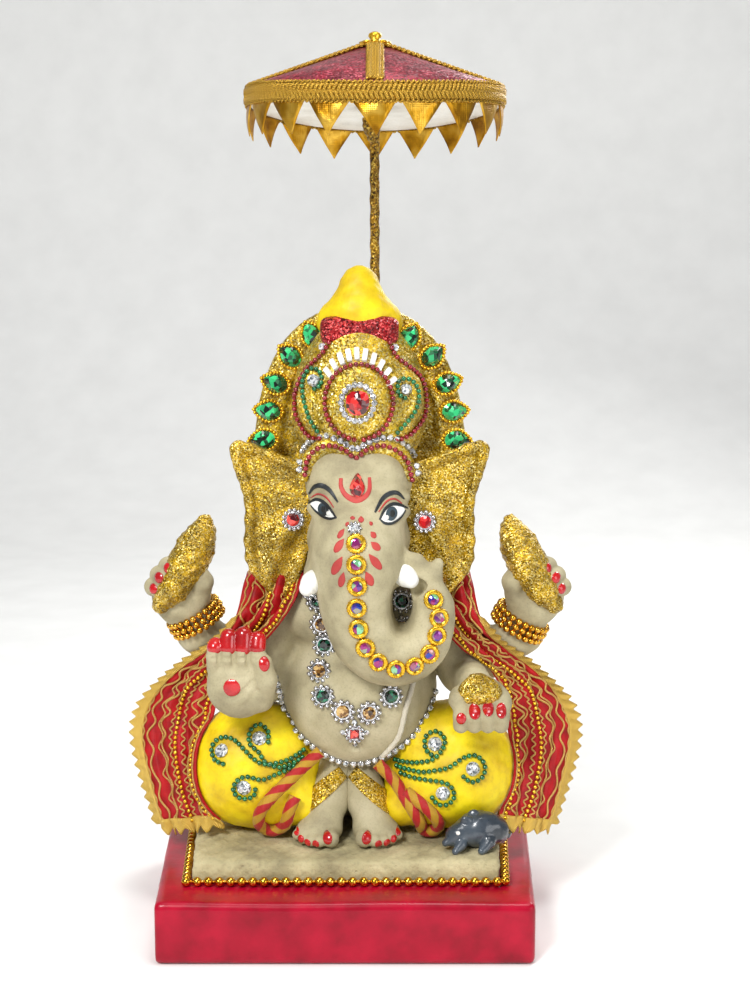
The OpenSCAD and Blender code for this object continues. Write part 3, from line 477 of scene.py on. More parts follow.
@dataclass
class Clay:
    """Soft forms pressed into one another and skinned with an even mesh."""

    step: float
    forms: list[Form] = field(default_factory=list)
    floor: float | None = None

    def oval(self, centre: Point, radii: Point, blend: float = 5.0, cut: bool = False) -> "Clay":
        """Adds or carves an ellipsoid."""
        c, r = np.array(centre, float), np.array(radii, float)

        def measure(p: Array) -> Array:
            near = np.linalg.norm((p - c) / r, axis=-1)
            far = np.maximum(np.linalg.norm((p - c) / r**2, axis=-1), 1e-6)
            return near * (near - 1) / far

        self.forms.append(Form(measure, c - r, c + r, blend, cut))
        return self

    def limb(self, balls: Outline, blend: float = 3.0, cut: bool = False) -> "Clay":
        """Adds or carves a run of tapered rods through balls [x, y, z, radius]."""
        for first, last in zip(balls[:-1], balls[1:]):
            a, b = np.array(first[:3], float), np.array(last[:3], float)
            ra, rb, span = first[3], last[3], b - a

            def measure(p: Array, a=a, ra=ra, rb=rb, span=span) -> Array:
                t = np.clip(((p - a) @ span) / max(span @ span, 1e-9), 0, 1)
                return np.linalg.norm(p - a - t[..., None] * span, axis=-1) - (ra + t * (rb - ra))

            r = np.array([[ra], [rb]])
            ends = np.array([a, b])
            self.forms.append(Form(measure, (ends - r).min(0), (ends + r).max(0), blend, cut))
        return self

    def plate(self, outline: Outline, back: float, front: float, rounding: float, blend: float = 3.0) -> "Clay":
        """Adds an upright plate with a rounded outline in X and Z, from y front to back."""
        q = np.asarray(outline, float)
        low, high = q.min(0), q.max(0)

        def measure(p: Array) -> Array:
            x, z = p[..., 0], p[..., 2]
            nearest = np.full(x.shape, 1e9)
            inside = np.zeros(x.shape, bool)
            for (ax, az), (bx, bz) in zip(q, np.roll(q, -1, 0)):
                ex, ez = bx - ax, bz - az
                t = np.clip(((x - ax) * ex + (z - az) * ez) / (ex * ex + ez * ez + 1e-12), 0, 1)
                nearest = np.minimum(nearest, (x - ax - t * ex) ** 2 + (z - az - t * ez) ** 2)
                if abs(ez) > 1e-9:
                    inside ^= ((az > z) != (bz > z)) & (x < ex * (z - az) / ez + ax)
            flat = np.where(inside, -1, 1) * np.sqrt(nearest) + rounding
            deep = np.abs(p[..., 1] - (front + back) / 2) - (back - front) / 2 + rounding
            out = np.hypot(np.maximum(flat, 0), np.maximum(deep, 0))
            return out + np.minimum(np.maximum(flat, deep), 0) - rounding

        box = np.array([[low[0], front, low[1]], [high[0], back, high[1]]])
        self.forms.append(Form(measure, box[0], box[1], blend, False))
        return self

    def distance(self, points: Array) -> Array:
        """Returns each point's distance outside the clay, below 0 inside it."""
        total = np.full(points.shape[:-1], 30.0)
        for form in self.forms:
            d = form.measure(points)
            total = -smooth_min(-total, d, form.blend) if form.cut else smooth_min(total, d, form.blend)
        return total

    def skin(self, relax: int = 2) -> tuple[Array, Array]:
        """Meshes the clay with one corner in each cell that its surface crosses.

        Args:
            relax: rounds of evening out.

        Returns:
            The corners and the four-sided faces.
        """
        h = self.step
        kept = [f for f in self.forms if not f.cut]
        room = 3 * h + 1 + max(f.blend for f in kept) * 0.6
        low = np.min([f.low for f in kept], 0) - room
        high = np.max([f.high for f in kept], 0) + room
        size = np.ceil((high - low) / h).astype(int) + 1
        axes = [low[k] + h * np.arange(size[k]) for k in range(3)]
        total = np.full(size, 30.0)
        for form in self.forms:
            pad = form.blend + 3 * h
            i0 = np.clip(np.floor((form.low - pad - low) / h).astype(int), 0, size)
            i1 = np.clip(np.ceil((form.high + pad - low) / h).astype(int) + 1, 0, size)
            if (i1 <= i0).any():
                continue
            part = tuple(slice(a, b) for a, b in zip(i0, i1))
            p = np.stack(np.meshgrid(*[axes[k][part[k]] for k in range(3)], indexing="ij"), -1)
            d = form.measure(p)
            total[part] = (
                -smooth_min(-total[part], d, form.blend) if form.cut else smooth_min(total[part], d, form.blend)
            )
        if self.floor is not None:
            total = np.maximum(total, (self.floor - axes[2])[None, None, :])
        inside = total < 0
        blocks = [inside[i : size[0] - 1 + i, j : size[1] - 1 + j, k : size[2] - 1 + k] for i, j, k in CORNERS]
        count = np.sum(blocks, 0)
        active = (count > 0) & (count < 8)
        cells = np.argwhere(active)
        number = np.full(active.shape, -1)
        number[active] = np.arange(len(cells))
        place, hits = np.zeros((len(cells), 3)), np.zeros(len(cells))
        for a in CORNERS:
            for k in range(3):
                if a[k]:
                    continue
                b = a.copy()
                b[k] = 1
                fa, fb = total[tuple((cells + a).T)], total[tuple((cells + b).T)]
                crossing = (fa < 0) != (fb < 0)
                t = np.where(crossing, fa / np.where(fa == fb, 1, fa - fb), 0)
                place[crossing] += (a + t[:, None] * (b - a))[crossing]
                hits += crossing
        verts = low + (cells + place / hits[:, None]) * h
        quads = []
        for k in range(3):
            u, v = (k + 1) % 3, (k + 2) % 3
            near = np.take(inside, range(size[k] - 1), k)
            far = np.take(inside, range(1, size[k]), k)
            edges = np.argwhere(near != far)
            edges = edges[(edges[:, u] > 0) & (edges[:, v] > 0)]
            edges = edges[(edges[:, u] < size[u] - 1) & (edges[:, v] < size[v] - 1)]
            ring = []
            for du, dv in ((-1, -1), (0, -1), (0, 0), (-1, 0)):
                cell = edges.copy()
                cell[:, u] += du
                cell[:, v] += dv
                ring.append(number[tuple(cell.T)])
            ring = np.stack(ring, 1)
            leaving = near[tuple(edges.T)]
            ring[~leaving] = ring[~leaving][:, ::-1]
            quads.append(ring)
        faces = np.concatenate(quads)
        for _ in range(relax):
            for share in (0.5, -0.52):
                total_at, times = np.zeros_like(verts), np.zeros(len(verts))
                for m in range(4):
                    for other in (faces[:, (m + 1) % 4], faces[:, (m - 1) % 4]):
                        for axis in range(3):
                            total_at[:, axis] += np.bincount(faces[:, m], verts[other, axis], len(verts))
                        times += np.bincount(faces[:, m], minlength=len(verts))
                verts = verts + share * (total_at / times[:, None] - verts)
        return verts, faces


@dataclass
class Surface:
    """Skins that ornaments are glued to, found by looking at them from a side."""

    skins: list[tuple[Array, Array]]
    trees: list[BVHTree] = field(default_factory=list)

    def __post_init__(self) -> None:
        """Prepares the skins for looking up."""
        self.trees = [BVHTree.FromPolygons(v.tolist(), f.tolist()) for v, f in self.skins]

    def meet(self, start: Point, way: Point = (0, 1, 0)) -> tuple[Array, Array]:
        """Finds where a line of sight meets the nearest skin.

        Args:
            start: where it starts.
            way: its direction.

        Returns:
            The point and the outward normal there.
        """
        best = None
        for tree in self.trees:
            spot, normal, _, reach = tree.ray_cast(Vector(start), Vector(way).normalized())
            if spot is not None and (best is None or reach < best[2]):
                best = (spot, normal, reach)
        if best is None:
            found = [tree.find_nearest(Vector(start) + Vector(way).normalized() * 190) for tree in self.trees]
            spot, normal, _, _ = min(found, key=lambda q: q[3])
            best = (spot, normal, 0)
        spot, normal = np.array(best[0]), np.array(best[1])
        if normal @ np.array(way) > 0:
            normal = -normal
        return spot, normal

    def front(self, x: float, z: float) -> tuple[Array, Array]:
        """Finds the skin seen from the front at x and z."""
        return self.meet((x, -200.0, z))

    def run(self, path: Outline, lift: float, per: int = 5, closed: bool = False) -> Array:
        """Lays a smooth line of [x, z] places on the skins, raised by lift."""
        spots = [self.front(x, z) for x, z in bend(path, per, closed)]
        return np.array([p + n * lift for p, n in spots])


def rod(path: Array, radius: float | Array, sides: int = 8, closed: bool = False) -> tuple[Array, list, Array]:
    """Makes a round rod along a path.

    Args:
        path: the centre line.
        radius: one radius, or one for each point.
        sides: corners around it.
        closed: whether it is a ring.

    Returns:
        The corners, the faces and each face corner's place along and around it.
    """
    p = np.asarray(path, float)
    n = len(p)
    r = np.broadcast_to(np.asarray(radius, float), (n,))
    ahead = np.roll(p, -1, 0) - np.roll(p, 1, 0) if closed else np.gradient(p, axis=0)
    ahead = unit(ahead)
    side = unit(np.cross(ahead[0], (0.31, 0.52, 0.79)))
    rings, along = [], 0.0
    travel = [0.0]
    for i in range(n):
        side = unit(side - (side @ ahead[i]) * ahead[i])
        up = np.cross(ahead[i], side)
        turn = 2 * np.pi * np.arange(sides) / sides
        rings.append(p[i] + r[i] * (np.cos(turn)[:, None] * side + np.sin(turn)[:, None] * up))
        along += float(np.linalg.norm(p[(i + 1) % n] - p[i])) if (i + 1 < n or closed) else 0.0
        travel.append(along)
    faces, uv = [], []
    round_mm = 2 * np.pi * float(r.mean())
    for i in range(n if closed else n - 1):
        j = (i + 1) % n
        for k in range(sides):
            m = (k + 1) % sides
            faces.append([i * sides + k, i * sides + m, j * sides + m, j * sides + k])
            a, b = round_mm * k / sides, round_mm * (k + 1) / sides
            uv += [(travel[i], a), (travel[i], b), (travel[i + 1], b), (travel[i + 1], a)]
    if not closed:
        faces += [list(range(sides))[::-1], [(n - 1) * sides + k for k in range(sides)]]
        uv += [(0.0, 0.0)] * sides + [(travel[n - 1], 0.0)] * sides
    return np.concatenate(rings), faces, np.array(uv)


def gather(parts: Iterable[tuple]) -> tuple[Array, list, Array | None]:
    """Puts several meshes in one: corners, faces and, if they have them, maps."""
    verts, faces, maps, count = [], [], [], 0
    for part in parts:
        verts.append(part[0])
        faces += [[int(i) + count for i in f] for f in part[1]]
        if len(part) > 2:
            maps.append(part[2])
        count += len(part[0])
    return np.concatenate(verts), faces, np.concatenate(maps) if maps else None


def lathe(profile: Outline, sides: int = 24) -> tuple[Array, list]:
    """Turns a profile of [radius, height] about Z, closing its ends on the axis."""
    verts, faces, rings = [], [], []
    for r, z in profile:
        if r < 1e-6:
            rings.append([len(verts)])
            verts.append((0.0, 0.0, z))
        else:
            rings.append(list(range(len(verts), len(verts) + sides)))
            verts += [
                (r * math.cos(2 * math.pi * k / sides), r * math.sin(2 * math.pi * k / sides), z) for k in range(sides)
            ]
    for a, b in zip(rings[:-1], rings[1:]):
        for k in range(sides):
            m = (k + 1) % sides
            if len(a) == 1:
                faces.append([a[0], b[m], b[k]])
            elif len(b) == 1:
                faces.append([a[k], a[m], b[0]])
            else:
                faces.append([a[k], a[m], b[m], b[k]])
    return np.array(verts), faces


def moved(shape: tuple, origin: Point, facing: Point, side: Point = (1, 0, 0), scale: float = 1.0) -> tuple:
    """Stands a shape made about Z on a point, with Z along facing and X towards side."""
    z = unit(np.array(facing, float))
    x = np.array(side, float)
    x = unit(x - (x @ z) * z)
    return (np.array(origin) + scale * shape[0] @ np.stack([x, np.cross(z, x), z]), *shape[1:])


def stroke(line: Outline, widths: Sequence[float], per: int = 6) -> Array:
    """Returns the outline of a brush stroke along a line, with a width at each of its points."""
    path = bend(line, per)
    wide = np.interp(np.linspace(0, 1, len(path)), np.linspace(0, 1, len(widths)), widths)
    ahead = unit(np.gradient(path, axis=0))
    across = np.stack([-ahead[:, 1], ahead[:, 0]], 1) * wide[:, None] / 2
    return np.concatenate([path + across, (path - across)[::-1]])


def blob(centre: Point, width: float, height: float, turn: float = 0.0, point: float = 0.0, n: int = 20) -> Array:
    """Returns an oval outline, turned by degrees and drawn to a tip at its top by a share of 0 to 1."""
    a = 2 * np.pi * np.arange(n) / n
    x, z = np.cos(a) * width / 2, np.sin(a) * height / 2
    x = x * (1 - point * np.clip(np.sin(a), 0, 1) ** 1.5)
    t = math.radians(turn)
    return np.stack([centre[0] + x * math.cos(t) - z * math.sin(t), centre[1] + x * math.sin(t) + z * math.cos(t)], 1)


def paint(outlines: Iterable[Array], on: Surface, lift: float = 0.12, grain: float = 0.55) -> tuple[Array, list]:
    """Lays thin coats of paint on skins seen from the front.

    Args:
        outlines: outlines in x and z.
        on: the skins.
        lift: how far the paint stands out.
        grain: spacing of its inner corners.

    Returns:
        Corners and faces of closed thin slabs.
    """
    slabs = []
    for outline in outlines:
        q = np.asarray(outline, float)
        low, high = q.min(0), q.max(0)
        inner = [
            (x, z)
            for x in np.arange(low[0] + grain / 2, high[0], grain)
            for z in np.arange(low[1] + grain / 2, high[1], grain)
        ]
        inner = [p for p in inner if np.min(np.linalg.norm(q - p, axis=1)) > grain * 0.6]
        points = [Vector(p) for p in q.tolist()] + [Vector(p) for p in inner]
        flat, _, tris, *_ = geometry.delaunay_2d_cdt(points, [], [list(range(len(q)))], 1, 1e-5)
        if not tris:
            continue
        spots = [on.front(p.x, p.y) for p in flat]
        top = np.array([p + n * lift for p, n in spots])
        under = np.array([p - n * 0.25 for p, n in spots])
        corners = top
        area = np.cross(corners[tris[0][1]] - corners[tris[0][0]], corners[tris[0][2]] - corners[tris[0][0]])
        if area @ spots[tris[0][0]][1] < 0:
            tris = [list(t)[::-1] for t in tris]
        count = len(flat)
        edges = {(t[i], t[(i + 1) % 3]) for t in tris for i in range(3)}
        rim = [(a, b) for a, b in edges if (b, a) not in edges]
        faces = [list(t) for t in tris] + [[i + count for i in reversed(t)] for t in tris]
        faces += [[b, a, a + count, b + count] for a, b in rim]
        slabs.append((np.concatenate([top, under]), faces))
    verts, faces, _ = gather(slabs)
    return verts, faces


# ------------------------------------------------------- geometry nodes
def node_group(name: str, sockets: Iterable[tuple[str, str]]) -> tuple:
    """Starts a Geometry Nodes tree with named inputs.

    Args:
        name: the tree's name.
        sockets: each input's name and socket type, after the geometry.

    Returns:
        The tree, its input node and its output node.
    """
    tree = bpy.data.node_groups.new(name, "GeometryNodeTree")
    tree.interface.new_socket("Geometry", in_out="INPUT", socket_type="NodeSocketGeometry")
    for label, kind in sockets:
        tree.interface.new_socket(label, in_out="INPUT", socket_type=kind)
    tree.interface.new_socket("Geometry", in_out="OUTPUT", socket_type="NodeSocketGeometry")
    return tree, add(tree, "NodeGroupInput"), add(tree, "NodeGroupOutput")


def closing(tree: bpy.types.NodeTree, made: bpy.types.NodeSocket, start: bpy.types.Node, end: bpy.types.Node) -> None:
    """Ends a tree: real geometry, smooth shading and the material."""
    real = add(tree, "GeometryNodeRealizeInstances", {"Geometry": made})
    soft = add(
        tree, "GeometryNodeSetShadeSmooth", {"Geometry": real.outputs[0], "Shade Smooth": start.outputs["Smooth"]}
    )
    dressed = add(tree, "GeometryNodeSetMaterial", {"Geometry": soft.outputs[0], "Material": start.outputs["Material"]})
    tree.links.new(dressed.outputs[0], end.inputs[0])


def bead_tree() -> bpy.types.NodeTree:
    """Returns the tree that strings round beads along lines."""
    if "bead_string" in bpy.data.node_groups:
        return bpy.data.node_groups["bead_string"]
    tree, start, end = node_group(
        "bead_string",
        [("Bead radius", "NodeSocketFloat"), ("Pitch", "NodeSocketFloat"), ("Smooth", "NodeSocketBool"),
         ("Material", "NodeSocketMaterial")],
    )
    line = add(tree, "GeometryNodeMeshToCurve", {"Mesh": start.outputs["Geometry"]})
    even = add(
        tree, "GeometryNodeResampleCurve", {"Curve": line.outputs[0], "Length": start.outputs["Pitch"]}, mode="LENGTH"
    )
    ball = add(tree, "GeometryNodeMeshIcoSphere", {"Radius": start.outputs["Bead radius"], "Subdivisions": 2})
    set_on = add(tree, "GeometryNodeInstanceOnPoints", {"Points": even.outputs[0], "Instance": ball.outputs[0]})
    closing(tree, set_on.outputs[0], start, end)
    return tree


def setting_tree() -> bpy.types.NodeTree:
    """Returns the tree that sets copies of a small piece on points, each turned by its own directions."""
    if "set_pieces" in bpy.data.node_groups:
        return bpy.data.node_groups["set_pieces"]
    tree, start, end = node_group(
        "set_pieces",
        [("Piece", "NodeSocketObject"), ("Smooth", "NodeSocketBool"), ("Material", "NodeSocketMaterial")],
    )
    piece = add(tree, "GeometryNodeObjectInfo", {"Object": start.outputs["Piece"]})
    ways = [
        add(tree, "GeometryNodeInputNamedAttribute", {"Name": name}, data_type=kind).outputs["Attribute"]
        for name, kind in (("facing", "FLOAT_VECTOR"), ("side", "FLOAT_VECTOR"), ("size", "FLOAT"))
    ]
    turn = add(
        tree, "FunctionNodeAxesToRotation", {0: ways[0], 1: ways[1]}, primary_axis="Z", secondary_axis="X"
    )
    set_on = add(
        tree, "GeometryNodeInstanceOnPoints",
        {"Points": start.outputs["Geometry"], "Instance": piece.outputs["Geometry"], "Rotation": turn.outputs[0],
         "Scale": ways[2]},
    )
    closing(tree, set_on.outputs[0], start, end)
    return tree


def grown(base: bpy.types.Object, tree: bpy.types.NodeTree, **values: object) -> bpy.types.Object:
    """Runs a tree on a base object and keeps the result as a plain mesh.

    Args:
        base: the object that the tree starts from.
        tree: the Geometry Nodes tree.
        values: its inputs, with _ for a space.

    Returns:
        The same object with its new mesh.
    """
    step = base.modifiers.new("grow", "NODES")
    step.node_group = tree
    for item in tree.interface.items_tree:
        key = item.name.replace(" ", "_")
        if item.in_out == "INPUT" and key in values:
            step[item.identifier] = values[key]
    bpy.context.view_layer.update()
    seen = base.evaluated_get(bpy.context.evaluated_depsgraph_get())
    mesh = bpy.data.meshes.new_from_object(seen)
    base.modifiers.remove(step)
    base.data = mesh
    return base


def beads(name: str, lines: Iterable[Array], diameter: float, pitch: float, finish: Finish) -> bpy.types.Object:
    """Strings beads along lines; a closed line has no bead doubled where it meets itself.

    Args:
        name: the piece's name.
        lines: the lines through the beads' middles.
        diameter: of a bead.
        pitch: from bead to bead.
        finish: what the beads are made of.

    Returns:
        The piece.
    """
    verts, edges = [], []
    for line in lines:
        if np.linalg.norm(line[0] - line[-1]) < pitch / 4:
            # a ring ends one pitch short of its start, so that no bead is doubled
            fine = evenly(np.asarray(line, float), pitch / 12)
            line = fine[:-12]
        edges += [(len(verts) + i, len(verts) + i + 1) for i in range(len(line) - 1)]
        verts += (np.asarray(line) * MM).tolist()
    mesh = bpy.data.meshes.new(name)
    mesh.from_pydata(verts, edges, [])
    base = bpy.data.objects.new(name, mesh)
    bpy.context.scene.collection.objects.link(base)
    return grown(
        base, bead_tree(), Bead_radius=diameter * MM / 2, Pitch=pitch * MM, Smooth=True, Material=finish.material()
    )


@dataclass
class Spot:
    """A place for a small piece: its point, its outward way, its side and its size."""

    point: Array
    facing: Array
    side: Array = field(default_factory=lambda: np.array([1.0, 0, 0]))
    size: float = 1.0


def set_pieces(
    name: str, shape: tuple, spots: Sequence[Spot], finish: Finish, smooth: bool = False
) -> bpy.types.Object:
    """Sets copies of a small shape on spots.

    Args:
        name: the piece's name.
        shape: the shape's corners and faces, about Z.
        spots: where the copies go.
        finish: what they are made of.
        smooth: whether they are shaded smooth.

    Returns:
        The piece.
    """
    pattern = solid(name + "_pattern", shape[0], shape[1], finish)
    mesh = bpy.data.meshes.new(name)
    mesh.from_pydata([tuple(s.point * MM) for s in spots], [], [])
    for label, kind, rows in (
        ("facing", "FLOAT_VECTOR", [unit(s.facing) for s in spots]),
        ("side", "FLOAT_VECTOR", [s.side for s in spots]),
        ("size", "FLOAT", [s.size for s in spots]),
    ):
        store = mesh.attributes.new(label, kind, "POINT")
        store.data.foreach_set("vector" if kind == "FLOAT_VECTOR" else "value", np.array(rows, np.float32).ravel())
    base = bpy.data.objects.new(name, mesh)
    bpy.context.scene.collection.objects.link(base)
    grown(base, setting_tree(), Piece=pattern, Smooth=smooth, Material=finish.material())
    bpy.data.objects.remove(pattern)
    return base


def brilliant(diameter: float, height: float, sides: int = 8) -> tuple[Array, list]:
    """Returns a cut stone: a girdle, a ring of crown facets and a flat table."""
    r = diameter / 2
    verts, faces = lathe([(0, 0), (r * 0.94, 0), (r, height * 0.35), (r * 0.58, height), (0, height)], sides)
    return verts, faces


def leaf_ring(length: float, n: int = 28) -> Array:
    """Returns the outline of a leaf stone about its middle, with the tip along X."""
    a = 2 * np.pi * np.arange(n) / n
    r = length * 0.37
    x, y = np.cos(a) * length / 2, np.sin(a) * r
    return np.stack([x, y * (1 - 0.5 * np.clip(np.cos(a), 0, 1) ** 1.5)], 1)


def domed(outline: Array, height: float, inset: float = 0.62) -> tuple[Array, list]:
    """Returns a cut stone with this outline: upright girdle, sloping facets and a table."""
    n = len(outline)
    middle = outline.mean(0)
    rings = [
        np.c_[outline, np.zeros(n)],
        np.c_[outline, np.full(n, height * 0.3)],
        np.c_[middle + (outline - middle) * inset, np.full(n, height)],
    ]
    verts = np.concatenate([*rings, [[*middle, 0.0]], [[*middle, height]]])
    faces = []
    for k in range(n):
        m = (k + 1) % n
        faces += [[k, m, n + m, n + k], [n + k, n + m, 2 * n + m, 2 * n + k]]
        faces += [[m, k, 3 * n], [2 * n + k, 2 * n + m, 3 * n + 1]]
    return verts, faces


# ---------------------------------------------------------------- stand
def flared(width: float, front: float, back: float, flare: float = 12.0) -> Array:
    """Returns an outline that is wider at the back, from its front left corner round."""
    return np.array(
        [(-width / 2, front), (width / 2, front), ((width + flare) / 2, back), (-(width + flare) / 2, back)]
    )


def grained(verts: Array, amount: float, size: float) -> Array:
    """Pushes corners about by a smooth uneven field, for hand-made faces.

    Args:
        verts: the corners.
        amount: the largest push.
        size: the width of one lump.

    Returns:
        The moved corners.
    """
    f = 2 * np.pi / size
    x, y, z = verts.T
    push = np.stack(
        [
            np.sin(f * y + 1.3) * np.sin(f * 1.7 * z) + 0.5 * np.sin(f * 2.3 * x + f * y),
            np.sin(f * x + 0.4) * np.sin(f * 1.4 * z + 2) + 0.5 * np.sin(f * 2.1 * y + f * z),
            np.sin(f * 1.2 * x) * np.sin(f * y + 0.7) + 0.5 * np.sin(f * 2.7 * x - f * 1.9 * y),
        ],
        1,
    )
    return verts + amount * push / 1.5


def block(step: float, outline: Array, bottom: float, top: float, rounding: float) -> Clay:
    """Starts a clay block with a lying outline in X and Y."""
    made = Clay(step)
    upright = Clay(step).plate(outline, top, bottom, rounding).forms[0]

    def measure(p: Array) -> Array:
        return upright.measure(np.stack([p[..., 0], p[..., 2], p[..., 1]], -1))

    low, high = upright.low[[0, 2, 1]], upright.high[[0, 2, 1]]
    made.forms.append(Form(measure, low, high, 1.0, False))
    return made


@dataclass
class Stand:
    """The painted wooden base, the rough clay slab on it and the ball chain between them."""

    base_width: float = 165
    base_depth: float = 130
    base_height: float = 28
    slab_width: float = 136
    slab_front: float = -42
    slab_back: float = 56
    slab_top: float = 38
    ball: float = 4.4

    def build(self) -> Surface:
        """Builds the stand's pieces.

        Returns:
            The slab's skin.
        """
        d = self.base_depth / 2
        base = block(1.6, flared(self.base_width, -d, d), 0, self.base_height, 2.6)
        verts, faces = base.skin(1)
        verts[:, 2] = np.clip(verts[:, 2] + 0.25 * np.sin(verts[:, 0] / 17) * (verts[:, 2] > 5), 0, 40)
        fit(solid("base_block_painted", verts, faces, RED_ENAMEL), "idol", "base_paint", "base_block")
        low = self.base_height - 0.4
        slab = block(1.0, flared(self.slab_width, self.slab_front, self.slab_back), low, self.slab_top, 2.0)
        slab.limb([(-70, -46.5, 42, 7.5), (70, -46.5, 42, 7.0)], 3.0, cut=True)
        verts, faces = slab.skin(1)
        high = verts[:, 2] > low + 1.5
        verts[high] = grained(grained(verts[high], 0.5, 19), 0.28, 6.5)
        skin = (verts, faces)
        fit(solid("clay_slab", verts, faces, PLINTH_CLAY), "idol", "clay", "clay_plinth")
        off = self.ball / 2 + 0.5
        ring = flared(self.slab_width + 2 * off, self.slab_front - off, self.slab_back + off)
        line = np.concatenate([evenly(np.array([ring[i], ring[(i + 1) % 4]]), 4.9)[:-1] for i in range(4)] + [ring[:1]])
        line = np.c_[line, np.full(len(line), self.base_height + self.ball / 2)]
        chain = beads("base_ball_chain_gilt", [line], self.ball, 4.9, GILT)
        fit(chain, "idol", "gilt", "base_ball_chain")
        link = rod(line, 0.7, 6, closed=False)
        fit(solid("base_chain_wire", link[0], link[1], GILT), "idol", "gilt")
        return Surface([skin])


# --------------------------------------------------------------- figure
def across(x: float) -> float:
    """Mirrors an x about the middle of the rear arms."""
    return 10 - x


